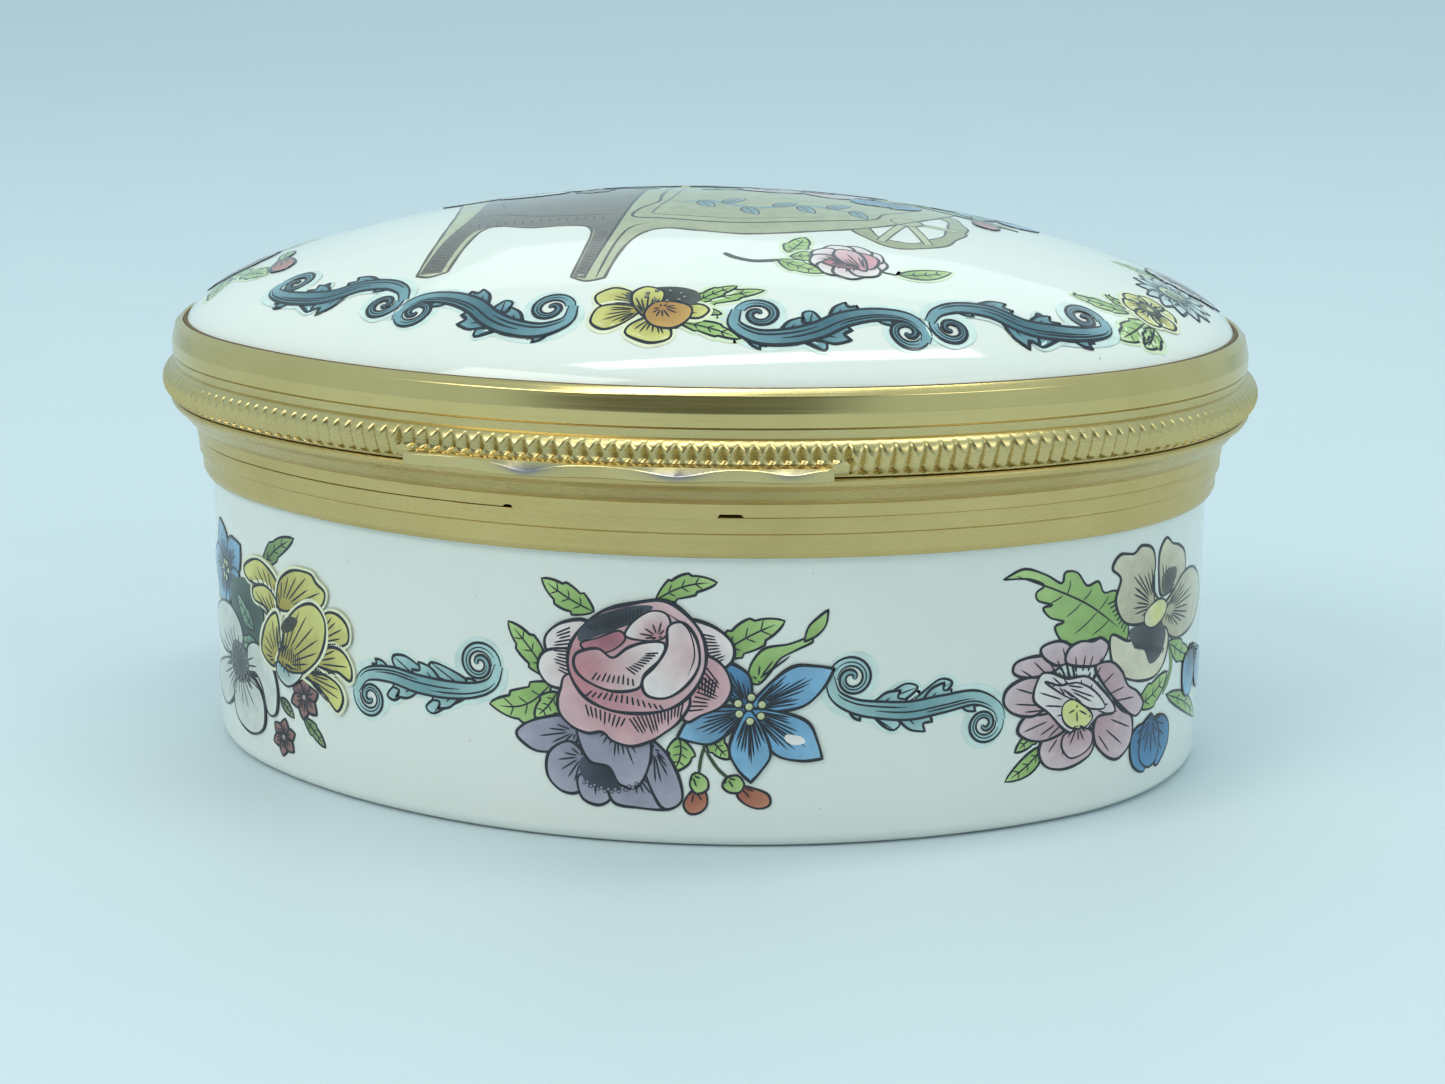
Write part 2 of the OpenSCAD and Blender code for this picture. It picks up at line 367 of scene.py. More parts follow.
# %% Copper, cement and pin
def plain_material(name, light, dark, grain, rough, metal=0.0):
    """A material with grain of a size in millimetres between two colours."""
    material, tree, shader = new_material(name)
    place = node(tree, "ShaderNodeTexCoord").outputs["Object"]
    noise = node(tree, "ShaderNodeTexNoise", {"Vector": place, "Scale": 1 / (grain * MM),
                                              "Detail": 4.0})
    tone = node(tree, "ShaderNodeMix", {
        "Factor": noise.outputs["Fac"], "A": linear(light), "B": linear(dark)}, data_type="RGBA")
    tree.links.new(tone.outputs["Result"], shader.inputs["Base Color"])
    bump = node(tree, "ShaderNodeBump", {
        "Height": noise.outputs["Fac"], "Distance": 0.01 * MM, "Strength": 0.5})
    tree.links.new(bump.outputs["Normal"], shader.inputs["Normal"])
    shader.inputs["Roughness"].default_value = rough
    shader.inputs["Metallic"].default_value = metal
    return material


COPPER_SHEET = plain_material("copper_sheet", "#C98A66", "#B5734E", 0.6, 0.35, metal=1.0)
CEMENT = plain_material("resin_cement", "#7A6236", "#4E3B1E", 0.3, 0.6)
STEEL_WIRE = plain_material("steel_wire", "#B9B6AE", "#9E9B93", 0.2, 0.28, metal=1.0)
print("others:", COPPER_SHEET.name, CEMENT.name, STEEL_WIRE.name)

# %% [markdown]
# ## The base shell
#
# The base is a cup pressed from flat copper, with a small radius where the wall
# turns into the floor. Its three layers are made one by one as closed meshes:
# the section runs up the outside, over the top edge and down the inside, and
# rings that shrink towards the middle close the floor.

# %% A cup layer
def cup(outer, inner, steps=288, rings=6):
    """Points and faces of one layer of the cup between two depths."""
    def profile(depth):
        r = max(0.7 - depth, 0.12)
        arc = [(-depth - r + r * math.sin(t), depth + r - r * math.cos(t))
               for t in (math.pi / 2 * k / 6 for k in range(7))]
        wall = [(-depth, depth + r + (SHELL_TOP - depth - r) * k / 8) for k in range(1, 9)]
        return arc + wall
    line = profile(outer) + profile(inner)[::-1]
    n = len(line)
    verts, faces = [], []
    for j in range(steps):
        phi = 2 * math.pi * j / steps
        verts += [(*oval_point(x, phi), z) for x, z in line]
    for j in range(steps):
        k = (j + 1) % steps
        faces += [(j * n + i, k * n + i, k * n + i + 1, j * n + i + 1) for i in range(n - 1)]
    for row, z, flip in ((0, outer, True), (n - 1, inner, False)):
        loop = [j * n + row for j in range(steps)]
        for ring in range(1, rings):
            k = 1 - ring / rings
            fresh = []
            for v in [j * n + row for j in range(steps)]:
                fresh.append(len(verts))
                verts.append((verts[v][0] * k, verts[v][1] * k, z))
            for j in range(steps):
                m = (j + 1) % steps
                quad = (loop[j], loop[m], fresh[m], fresh[j])
                faces.append(quad[::-1] if flip else quad)
            loop = fresh
        middle = len(verts)
        verts.append((0.0, 0.0, z))
        for j in range(steps):
            m = (j + 1) % steps
            tri = (loop[j], loop[m], middle)
            faces.append(tri[::-1] if flip else tri)
    return verts, faces


D1, D2, D3 = ENAMEL, ENAMEL + COPPER, ENAMEL + COPPER + LINING
make_piece("base_enamel_coat", *cup(0.0, D1), "base", OUTER_ENAMEL, ["base_enamel"], "enamel",
           sharp=60)
make_piece("base_copper_core", *cup(D1, D2), "base", COPPER_SHEET, ["base_copper"], "copper",
           sharp=60)
make_piece("base_lining_coat", *cup(D2, D3), "base", LINING_ENAMEL, ["base_lining"], "lining",
           sharp=60)

# %% [markdown]
# ## The lid shell
#
# The lid is a flattened dome. Its height falls from the crown to the edge by
# one curve, which is the same along every line from the middle outwards, so a
# point's place between middle and edge, `k` from 0 to 1, gives its height.

# %% The dome's surface
def dome_height(k, depth=0.0):
    """The height of the dome's face at k of the way from middle to edge."""
    top = CROWN_Z - depth
    return SPRING_Z + (top - SPRING_Z) * max(0.0, 1 - k ** 1.8) ** (1 / 1.65)


def dome_share(x, y):
    """How far (x, y) lies from the middle towards the dome's edge, as k."""
    d2 = x * x + y * y
    if d2 < 1e-12:
        return 0.0
    ax, ay = abs(x), abs(y)
    r = END_R + DOME_OFF
    s = (END_C * ax + math.sqrt((END_C * ax) ** 2 + d2 * (r * r - END_C ** 2))) / d2
    if math.atan2(s * ay, s * ax - END_C) > END_HALF:
        r = SIDE_R + DOME_OFF
        s = (-SIDE_C * ay + math.sqrt((SIDE_C * ay) ** 2 + d2 * (r * r - SIDE_C ** 2))) / d2
    return 1 / s


# %% A dome layer
def dome(outer, inner, steps=288, rings=40):
    """Points and faces of one layer of the lid between two depths."""
    verts, faces = [], []
    ks = [math.cos(math.pi / 2 * (i / rings) ** 1.15) for i in range(rings)]
    heights = [(1.0, None)] + [(k, k) for k in ks]
    sides = []
    for depth in (outer, inner):
        rows = []
        for k, at in heights:
            z = RIM_TOP if at is None else dome_height(at, depth)
            rows.append(len(verts))
            for j in range(steps):
                px, py = oval_point(DOME_OFF - depth, 2 * math.pi * j / steps)
                verts.append((px * k, py * k, z))
        rows.append(len(verts))
        verts.append((0.0, 0.0, CROWN_Z - depth))
        sides.append(rows)
    for rows, flip in zip(sides, (False, True)):
        for a, b in zip(rows[:-2], rows[1:-1]):
            for j in range(steps):
                m = (j + 1) % steps
                quad = (a + j, a + m, b + m, b + j)
                faces.append(quad[::-1] if flip else quad)
        for j in range(steps):
            tri = (rows[-2] + j, rows[-2] + (j + 1) % steps, rows[-1])
            faces.append(tri[::-1] if flip else tri)
    low_out, low_in = sides[0][0], sides[1][0]
    for j in range(steps):
        m = (j + 1) % steps
        faces.append((low_out + m, low_out + j, low_in + j, low_in + m))
    return verts, faces


make_piece("lid_enamel_coat", *dome(0.0, D1), "lid", OUTER_ENAMEL, ["lid_enamel"], "enamel",
           sharp=60)
make_piece("lid_copper_core", *dome(D1, D2), "lid", COPPER_SHEET, ["lid_copper"], "copper",
           sharp=60)
make_piece("lid_lining_coat", *dome(D2, D3), "lid", LINING_ENAMEL, ["lid_lining"], "lining",
           sharp=60)

# %% [markdown]
# ## The base mount
#
# The base mount is two strips. The lower one is a narrow stepped band that
# hugs the wall. The upper one flares out to the flange on which the lid closes.
# They are soldered together, and the solder has not filled the joint all the
# way round: at the left of the front it stays sunk, as a line that ends in a
# small dark hole, and there is one short open slit further along.

# %% How open the solder joint is
def joint_open(u):
    """1 where the joint between collar and rim is open, 0 where solder fills it."""
    if -5.5 < u < -5.1 or 4.35 < u < 5.5:
        return 1.0
    if -60 < u <= -5.5:
        return 0.5
    if -5.1 <= u <= 4.35:
        return 0.0
    return 0.3


# %% Collar and rim of the base
SEAM_Z = PART_Z - 2.0
GROOVE_Z = PART_Z + 2.2
COLLAR_Z = PART_Z - 4.0
BED_OFF = 0.08
LIP_IN, LIP_OUT = -1.65, -1.2
LINER_IN, LINER_OUT = -0.85, -0.35
collar_section = refined(rounded([
    (BED_OFF, COLLAR_Z), (0.30, COLLAR_Z, 0.08), (0.45, COLLAR_Z + 0.3, 0.2),
    (0.46, COLLAR_Z + 1.12, 0.04), (0.62, COLLAR_Z + 1.22, 0.05), (0.65, SEAM_Z - 0.04, 0.04),
    (0.55, SEAM_Z, 0.02), (BED_OFF, SEAM_Z),
]), 0.35)
verts, faces, wrap = swept(collar_section, 360)
make_piece("base_collar_strip", verts, faces, "base", GILT, ["base_collar"], "gilt", wrap=wrap)


def solder_shift(u, x, z):
    """Lowers the rim's bottom edge on to the collar where solder fills the joint."""
    if z < SEAM_Z + 0.13:
        z += 0.07 - 0.2 * (1 - joint_open(u))
    return x, z


rim_section = refined(rounded([
    (BED_OFF, SEAM_Z + 0.04), (0.56, SEAM_Z + 0.04), (0.69, SEAM_Z + 0.06),
    (0.71, SEAM_Z + 0.2, 0.05),
    (0.76, SEAM_Z + 0.6, 0.05), (0.86, SEAM_Z + 0.66, 0.05), (1.1, PART_Z - 1.1, 0.15),
    (1.5, PART_Z - 0.62, 0.3),
    (1.82, PART_Z - 0.35, 0.1), (1.95, PART_Z - 0.12, 0.05), (1.85, PART_Z, 0.03),
    (LIP_OUT, PART_Z), (LIP_OUT, SHELL_TOP), (BED_OFF, SHELL_TOP),
]), 0.35)
SEAT_Y = WALL_B + 0.9
LEAF_HALF = (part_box("base_hinge_leaf")[1][0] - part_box("base_hinge_leaf")[0][0]) / 2 / MM


def seat(verts, low, high):
    """Presses the back of a rim flat where a hinge leaf is let into it."""
    out = []
    for x, y, z in verts:
        if y > SEAT_Y and abs(x) <= LEAF_HALF and low <= z <= high:
            y = SEAT_Y
        out.append((x, y, z))
    return out


verts, faces, wrap = swept(rim_section, 1080, solder_shift)
verts = seat(verts, PART_Z - 1.0, PART_Z)
make_piece("base_rim_strip", verts, faces, "base", GILT, ["base_rim"], "gilt", wrap=wrap)

# %% [markdown]
# Inside the rim a thin strip stands up above the parting plane. It guides the
# lid on, and a small pip on its front springs into the lid's liner.

# %% Lip and cement of the base
lip_low, lip_top = COLLAR_Z + 0.8, PART_Z + 1.6
lip_section = refined(rounded([
    (LIP_IN, lip_low), (LIP_OUT, lip_low), (LIP_OUT, lip_top - 0.2, 0.1),
    (LIP_OUT - 0.12, lip_top, 0.06), (LIP_IN + 0.1, lip_top, 0.06), (LIP_IN, lip_top - 0.15, 0.1),
]), 0.5)
verts, faces, wrap = swept(lip_section, 360)
make_piece("base_lip_strip", verts, faces, "base", GILT_BRIGHT, ["base_lip"], "gilt", wrap=wrap)

cement_section = [(0.0, COLLAR_Z + 0.12), (0.1, COLLAR_Z + 0.1), (0.08, SHELL_TOP),
                  (0.0, SHELL_TOP)]
verts, faces, wrap = swept(cement_section, 360)
make_piece("base_cement_bed", verts, faces, "base", CEMENT, ["base_cement"], "cement", wrap=wrap)

# %% [markdown]
# ## The lid mount and its milled edge
#
# The lid's moulding is a half round. A knurling wheel with a pointed tooth has
# been run along its lower half, leaving upright V grooves 0.7 mm apart. The
# wheel digs deepest where the moulding bulges towards it, and each groove runs
# out to a point near the top of the bulge. So the depth is worked out from the
# height first, and the V is then cut to that depth, which gives the pointed
# tops without drawing them.

# %% Milled rim
TEETH = 226
PER_TOOTH = 8
MILL_LOW, MILL_HIGH, MILL_DEPTH = PART_Z + 0.18, PART_Z + 1.72, 0.29
MILL_OFF = 2.2
pitch = oval_length(MILL_OFF) / TEETH
V_SLOPE = 0.84
THUMB_HALF = 9.95
BEAD_IN = 1.18


def groove_depth(u, z):
    """Depth of the milling at arc length u and height z."""
    across = abs((u / pitch + 0.5) % 1.0 - 0.5) * pitch
    low = MILL_LOW if abs(u) > THUMB_HALF + 0.6 else PART_Z + 0.8
    if z <= low or z >= MILL_HIGH:
        return 0.0
    t = (MILL_HIGH - z) / (MILL_HIGH - low)
    run_out = min(1.0, t * 1.7)
    start = min(1.0, (z - low) / 0.06)
    full = MILL_DEPTH * run_out * start
    return max(0.0, full - across * V_SLOPE)


def mill(u, x, z):
    """Moves the moulding's outer face inwards along the grooves."""
    if x > 1.7:
        x -= groove_depth(u, z)
    return x, z


def half_round():
    """The outer face of the milled moulding, from the bottom upwards."""
    pts = [(1.86, PART_Z + GAP), (1.92, PART_Z + GAP + 0.05)]
    parts, lowest, sweep = 25, -54, 122
    for k in range(parts + 1):
        t = math.radians(lowest + sweep * k / parts)
        pts.append((1.36 + 0.99 * math.cos(t), PART_Z + 0.93 + 0.95 * math.sin(t)))
    return pts + [(1.73, PART_Z + 1.94), (1.75, GROOVE_Z)]


milled_section = [(LINER_OUT, PART_Z + GAP)] + half_round() + [
    (BEAD_IN, GROOVE_Z), (BEAD_IN, RIM_TOP), (LINER_OUT, RIM_TOP)]
verts, faces, wrap = swept(milled_section, TEETH * PER_TOOTH, mill, ref=MILL_OFF)
verts = seat(verts, PART_Z, PART_Z + GAP + 0.95)
make_piece("lid_milled_moulding", verts, faces, "lid", GILT_MILLED, ["lid_milled_rim"], "gilt",
           sharp=50, wrap=wrap)

# %% [markdown]
# Above it a smooth bead turns in over the edge of the enamel, with a hair line
# of cement between them. Inside, a plain strip slides over the base lip.

# %% Bead, cement and liner of the lid
bead_section = refined(rounded([
    (BEAD_IN, GROOVE_Z), (1.73, GROOVE_Z, 0.02), (1.8, GROOVE_Z + 0.1, 0.05),
    (1.8, GROOVE_Z + 0.72, 0.4),
    (1.62, RIM_TOP + 0.98, 0.15), (1.30, RIM_TOP + 1.3, 0.05), (BEAD_IN, RIM_TOP + 1.2),
], steps=6), 0.2)
verts, faces, wrap = swept(bead_section, 480)
make_piece("lid_bead", verts, faces, "lid", GILT_BRIGHT, ["lid_collar"], "gilt", wrap=wrap)

bed_section = [(DOME_OFF, RIM_TOP), (BEAD_IN, RIM_TOP), (BEAD_IN, RIM_TOP + 1.24),
               (1.05, RIM_TOP + 1.29), (1.0, RIM_TOP + 1.2)]
verts, faces, wrap = swept(bed_section, 480)
make_piece("lid_cement_bed", verts, faces, "lid", CEMENT, ["lid_cement"], "cement", wrap=wrap)


def pip_pocket(u, x, z):
    """Hollows the liner's inner face over the catch pip."""
    if abs(u) < 1.5 and x < -0.8 and z < PART_Z + 1.15:
        x += 0.25
    return x, z


liner_section = refined(rounded([
    (LINER_IN, PART_Z + GAP, 0.03), (LINER_OUT, PART_Z + GAP), (LINER_OUT, RIM_TOP),
    (LINER_IN, RIM_TOP),
]), 0.3)
verts, faces, wrap = swept(liner_section, 720, pip_pocket)
make_piece("lid_liner_strip", verts, faces, "lid", GILT_BRIGHT, ["lid_liner"], "gilt", wrap=wrap)

# %% [markdown]
# ## The thumb piece
#
# The lip for the thumb is one flared strip whose front edge has been filed into
# an uneven wave. Years of thumbs have rubbed the gilding off its crests, down
# to a silvery plate. The edge stands lower where it reaches further out, since
# the filing follows the flare. `wear` is stored on the points, for the
# material to read.

# %% Thumb piece
def bell(u, centre, width):
    """A smooth bump of height 1."""
    return math.exp(-((u - centre) / width) ** 2)


def thumb_reach(u):
    """How far the filed edge stands out from the wall at arc length u."""
    dips = 0.42 * bell(u, -7.3, 1.7) + 0.42 * bell(u, -0.4, 1.9) + 0.38 * bell(u, 5.5, 1.5)
    return 3.28 - dips - 0.3 * bell(u, 10.2, 1.0) - 0.15 * bell(u, -10.2, 1.0)


def thumb_wear(u):
    """1 on the rubbed crests of the wave."""
    return min(1.0, bell(u, -3.8, 1.1) + 0.9 * bell(u, 3.0, 1.4) + 0.6 * bell(u, 8.0, 0.9))


THUMB_STEPS = 160
THUMB_ROOT = 1.7
verts, faces, wrap, wear = [], [], [], []
low, top = PART_Z + GAP, PART_Z + 0.75
for j in range(THUMB_STEPS + 1):
    u = -THUMB_HALF + 2 * THUMB_HALF * j / THUMB_STEPS
    reach, crest = thumb_reach(u), thumb_wear(u)
    tuck = 0.12 * max(0.0, (abs(u) - THUMB_HALF + 0.25) / 0.25)
    edge = PART_Z + 0.62 - 0.3 * crest
    line = rounded([
        (THUMB_ROOT, low), (reach - 0.1, low, 0.03), (reach - 0.03 - tuck, low + 0.06, 0.03),
        (reach - tuck, edge, 0.03), (reach - 0.05 - tuck, edge + 0.04, 0.02),
        (reach - 0.14 - 0.33 * crest, PART_Z + 0.7, 0.04), (2.2, top - tuck),
        (THUMB_ROOT, top - tuck),
    ], steps=3)
    phi = normal_angle(u, 2.8)
    for x, z in line:
        verts.append((*oval_point(x, phi), z))
        wrap.append((u, x + z))
        near_edge = max(0.0, 1 - abs(z - edge) / 0.3) * (x > reach - 0.5)
        wear.append(min(1.0, crest * near_edge * 1.3))
n = len(line)
for j in range(THUMB_STEPS):
    faces += [(j * n + i, (j + 1) * n + i, (j + 1) * n + (i + 1) % n, j * n + (i + 1) % n)
              for i in range(n)]
faces.append(tuple(range(n)))
faces.append(tuple(range(THUMB_STEPS * n, (THUMB_STEPS + 1) * n))[::-1])
thumb = make_piece("thumb_lip", verts, faces, "lid", GILT_WORN, ["thumb_piece"], "gilt", wrap=wrap)
layer = thumb.data.attributes.new("wear", "FLOAT", "POINT")
layer.data.foreach_set("value", wear)

# %% [markdown]
# ## The hinge
#
# Five knuckles share one steel pin. The knuckles are drawn tube, so their ends
# have a small rounded edge, made by turning a rounded section round the pin.

# %% Knuckles and pin
def turned(profile, x0, steps=48):
    """A ring from a closed profile [along, radius] turned about the hinge axis."""
    verts, faces = [], []
    n = len(profile)
    for j in range(steps):
        t = 2 * math.pi * j / steps
        verts += [(x0 + a, HINGE_Y + r * math.cos(t), PART_Z + r * math.sin(t)) for a, r in profile]
    for j in range(steps):
        k = (j + 1) % steps
        faces += [(j * n + i, j * n + (i + 1) % n, k * n + (i + 1) % n,
                   k * n + i) for i in range(n)]
    return verts, faces


KNUCKLE_R, PIN_R, BORE_PLAY = 1.0, 0.45, 0.05
for name, body in (("base_knuckle_left", "base"), ("lid_knuckle_left", "lid"),
                   ("base_knuckle_centre", "base"), ("lid_knuckle_right", "lid"),
                   ("base_knuckle_right", "base")):
    low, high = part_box(name)
    length = (high[0] - low[0]) / MM
    bore = PIN_R if body == "base" else PIN_R + BORE_PLAY
    profile = rounded([(0, bore), (0, KNUCKLE_R, 0.12), (length, KNUCKLE_R, 0.12), (length, bore)])
    verts, faces = turned(profile, low[0] / MM)
    make_piece(name + "_tube", verts, faces, body, GILT, [name], "gilt",
               wrap=[(v[0], v[2]) for v in verts])

low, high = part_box("hinge_pin")
length = (high[0] - low[0]) / MM
core = 0.02
profile = rounded([(0, core), (0, PIN_R, 0.1), (length, PIN_R, 0.1), (length, core)])
verts, faces = turned(profile, low[0] / MM)
make_piece("hinge_pin_wire", verts, faces, "base", STEEL_WIRE, ["hinge_pin"], "pin")

# %% [markdown]
# The leaves and the pip keep the solid model's own meshes. A fine bevel breaks
# their edges, which a modifier may do without moving them.

# %% Leaves and pip
for name in ("base_hinge_leaf", "lid_hinge_leaf", "catch_pip"):
    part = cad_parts[name]
    part.data.materials.clear()
    part.data.materials.append(GILT)
    bevel = part.modifiers.new("broken_edges", "BEVEL")
    bevel.width = 0.06 * MM
    bevel.segments = 2
    bevel.limit_method = "ANGLE"
    bevel.angle_limit = math.radians(40)
    print(name, "bevelled")

# %% [markdown]
# ## The painting
#
# The flowers are drawn in dark ink on the fired white, filled with thin washes
# of coloured glass and fired again, so each wash and line stands a few
# hundredths of a millimetre proud. A picture mapped on to the wall would lose
# that edge, so every wash and pen line here is a thin slab that follows the
# surface. Its outline is drawn flat, in millimetres along and up the wall or
# across the lid. It is cut into small triangles and then laid on.

# %% Pen and brush
INK = "#23262F"
LEAF, LIME = "#8FB062", "#BCD48C"
PAINT_STEP, LINE_STEP = 0.38, 0.16
HALO_WIDTH = 0.44
VOLUTE_BAND = 0.44
dice = random.Random(7)


def mix(a, b, t):
    """A linear colour between two hex colours."""
    return tuple(p + (q - p) * t for p, q in zip(linear(a), linear(b)))


def flowing(points, closed=True):
    """A smooth line through points; a third number marks a sharp corner."""
    pts = [Vector(p[:2]) for p in points]
    sharp = [len(p) > 2 for p in points]
    n = len(pts)
    out = []
    for i in range(n if closed else n - 1):
        a, b = pts[i], pts[(i + 1) % n]
        before = pts[i - 1] if (closed or i > 0) else a * 2 - b
        after = pts[(i + 2) % n] if (closed or i + 2 < n) else b * 2 - a
        ta = (b - before) / 2 if not sharp[i] else (b - a) * 0.6
        tb = (after - a) / 2 if not sharp[(i + 1) % n] else (b - a) * 0.6
        parts = max(2, math.ceil((b - a).length / LINE_STEP))
        for k in range(parts):
            t = k / parts
            out.append(a * (2 * t ** 3 - 3 * t ** 2 + 1) + ta * (t ** 3 - 2 * t ** 2 + t)
                       + b * (3 * t ** 2 - 2 * t ** 3) + tb * (t ** 3 - t ** 2))
    if not closed:
        out.append(pts[-1])
    return out


def inside(p, loop):
    """True if a point is inside a closed line."""
    hit = False
    for a, b in zip(loop, loop[1:] + loop[:1]):
        if (a.y > p.y) != (b.y > p.y) and p.x < (b.x - a.x) * (p.y - a.y) / (b.y - a.y) + a.x:
            hit = not hit
    return hit


class Artwork:
    """Washes and pen lines, each a flat patch with its height in the stack."""

    def __init__(self, ink=INK):
        self.patches = []
        self.level = 0
        self.ink = ink

    def wash(self, outline, dark, light, root=None, closed_line=None):
        """A fill that runs from dark at its root to light away from it."""
        loop = closed_line or flowing(outline)
        xs, ys = [p.x for p in loop], [p.y for p in loop]
        grid = []
        rows = int((max(ys) - min(ys)) / PAINT_STEP) + 1
        cols = int((max(xs) - min(xs)) / PAINT_STEP) + 1
        for i in range(rows):
            for j in range(cols):
                p = Vector((min(xs) + (j + 0.25 + 0.5 * (i % 2)) * PAINT_STEP,
                            min(ys) + (i + 0.5) * PAINT_STEP))
                if inside(p, loop) and min((p - q).length for q in loop[::2]) > 0.12:
                    grid.append(p)
        fill_inside, join_within = 1, 1e-5
        verts, _, faces, *_ = delaunay_2d_cdt(
            loop + grid, [], [list(range(len(loop)))], fill_inside, join_within)
        root = Vector(root) if root else sum(loop, Vector((0, 0))) / len(loop)
        reach = max((p - root).length for p in loop)
        tones = [mix(dark, light, min(1.0, ((v - root).length / reach) ** 1.2)) for v in verts]
        self.level += 1
        self.patches.append((verts, [tuple(f) for f in faces], tones, self.level))

    def pen(self, points, width=0.13, tone=None, closed=False, ends=(0.35, 0.2), smooth=True):
        """A pen line, thinner at its two ends by the given shares."""
        line = flowing(points, closed) if smooth else [Vector(p[:2]) for p in points]
        n = len(line)
        verts, rails = [], ([], [])
        for i, p in enumerate(line):
            if closed:
                d = line[(i + 1) % n] - line[i - 1]
                w = width * (1 + 0.18 * math.sin(i * 0.37 + n))
            else:
                d = line[min(i + 1, n - 1)] - line[max(i - 1, 0)]
                t = i / max(1, n - 1)
                w = width * min(1.0, ends[0] + t * 4, ends[1] + (1 - t) * 4)
            if d.length > 1e-9:
                across = Vector((-d.y, d.x)).normalized() * w / 2
            else:
                across = Vector((0, w / 2))
            for rail, q in zip(rails, (p + across, p - across)):
                if rail and (q - verts[rail[-1]]).dot(d) <= 0:
                    rail.append(rail[-1])
                else:
                    rail.append(len(verts))
                    verts.append(q)
        faces = []
        for i in range(n if closed else n - 1):
            k = (i + 1) % n
            ring = list(dict.fromkeys((rails[0][i], rails[1][i], rails[1][k], rails[0][k])))
            if len(ring) > 2:
                faces.append(tuple(ring))
        self.patches.append((verts, faces, [linear(tone or self.ink)] * len(verts),
                             self.level + 0.55))

    def outlined(self, points, width, tone, ink=0.11, closed=False):
        """A brush line of one width with an ink line along both its edges."""
        self.pen(points, width + 2 * ink, closed=closed, ends=(1, 1))
        self.level += 1
        self.pen(points, width, tone, closed, ends=(1, 1))

    def petal(self, outline, dark, light, root=None, rays=0, width=0.14, span=(0.0, 1.0),
              length=(0.15, 0.6), halo=None):
        """A wash with its ink outline, and pen rays that fan out from its root."""
        if halo:
            self.pen(outline, HALO_WIDTH, halo, closed=True)
        self.wash(outline, dark, light, root)
        self.pen(outline, width, closed=True)
        loop = flowing(outline)
        centre = Vector(root) if root else sum(loop, Vector((0, 0))) / len(loop)
        rays = round(rays * 1.4)
        for i in range(rays):
            t = span[0] + (span[1] - span[0]) * (i + 0.5) / rays
            far = loop[int(t * (len(loop) - 1))]
            a = length[0] + dice.uniform(-0.03, 0.03)
            b = length[1] + dice.uniform(-0.12, 0.08)
            self.pen([centre.lerp(far, a), centre.lerp(far, (a + b) / 2), centre.lerp(far, b)],
                     0.09)

    def fringe(self, p, q, towards, count, length, width=0.09):
        """Short pen strokes side by side from a line p to q, all heading for one point."""
        p, q, towards = Vector(p), Vector(q), Vector(towards)
        for i in range(count):
            a = p.lerp(q, (i + 0.5) / count)
            d = (towards - a).normalized() * length * dice.uniform(0.75, 1.15)
            self.pen([a, a + d * 0.5, a + d], width, ends=(1.0, 0.15))

    def leaf(self, base, tip, width, teeth=4, bend=0.0, dark=LEAF, light=LIME, halo=None):
        """A toothed leaf with a midrib and side veins."""
        base, tip = Vector(base), Vector(tip)
        along = tip - base
        side = Vector((-along.y, along.x)).normalized()

        def rib(t):
            return base + along * t + side * bend * math.sin(math.pi * t)
        upper, lower = [], []
        parts = max(10, teeth * 7)
        for i in range(parts + 1):
            t = i / parts
            saw = (t * teeth) % 1.0 if teeth else 0.5
            notch = 1 + 0.28 * (saw - 0.5)
            w = width / 2 * (math.sin(math.pi * t ** 0.85) ** 0.8) * (notch if 0 < i < parts else 0)
            upper.append(rib(t) + side * w)
            lower.append(rib(t) - side * w * 0.95)
        loop = upper + lower[-2:0:-1]
        if halo:
            self.pen(loop, HALO_WIDTH, halo, closed=True, smooth=False)
        self.wash(None, dark, light, rib(0.2), closed_line=loop)
        self.pen(loop, 0.12, closed=True, smooth=False)
        self.pen([rib(t / 8) for t in range(8)], 0.09)
        for i in range(1, max(3, teeth) + 1):
            t = i / (max(3, teeth) + 1.5)
            for s in (1, -1):
                self.pen([rib(t), rib(t + 0.1) + side * s * width * 0.28], 0.07)

    def bead(self, x, y, r, dark, light, width=0.07):
        """A small round dot with an outline."""
        ring = [(x + r * math.cos(t),
                 y + r * math.sin(t)) for t in (k * math.pi / 4 for k in range(8))]
        self.wash(ring, light, dark, (x - r * 0.3, y + r * 0.3))
        self.pen(ring, width, closed=True)

    def spiral(self, x, y, r, turns, start, spin, dark, light, ink):
        """A volute: a tapering coil that winds in to its eye."""
        outer, inner = [], []
        steps = int(turns * 26)
        for i in range(steps + 1):
            t = i / steps
            a = start + spin * 2 * math.pi * turns * t
            rr = r * (1 - t) ** 0.8 + 0.10
            w = VOLUTE_BAND * r * (1 - 0.62 * t)
            for side, at in ((outer, rr), (inner, max(0.03, rr - w))):
                side.append(Vector((x + at * math.cos(a), y + at * math.sin(a))))
        verts = [v for pair in zip(outer, inner) for v in pair]
        faces = [(2 * i, 2 * i + 1, 2 * i + 3, 2 * i + 2) for i in range(steps)]
        if spin > 0:
            faces = [f[::-1] for f in faces]
        self.level += 1
        tones = [mix(light, dark, i // 2 / steps) for i in range(len(verts))]
        self.patches.append((verts, faces, tones, self.level))
        self.pen(outer, ink, smooth=False)
        self.pen(inner, ink * 0.8, smooth=False)
        self.pen([p.lerp(q, 0.55) for p, q in zip(outer, inner)][2:steps * 2 // 3], 0.07,
                 smooth=False)


print("pen width 0.13 mm, paint cut into", PAINT_STEP, "mm triangles")

# %% [markdown]
# Laying the artwork on means giving each flat point its place on the surface.
# On the wall that is arc length and height. On the lid it is the plan, with the
# dome's own height. Each patch is closed: its underside is sunk into the enamel
# and a narrow wall joins the two, so it is a real slab of glass.

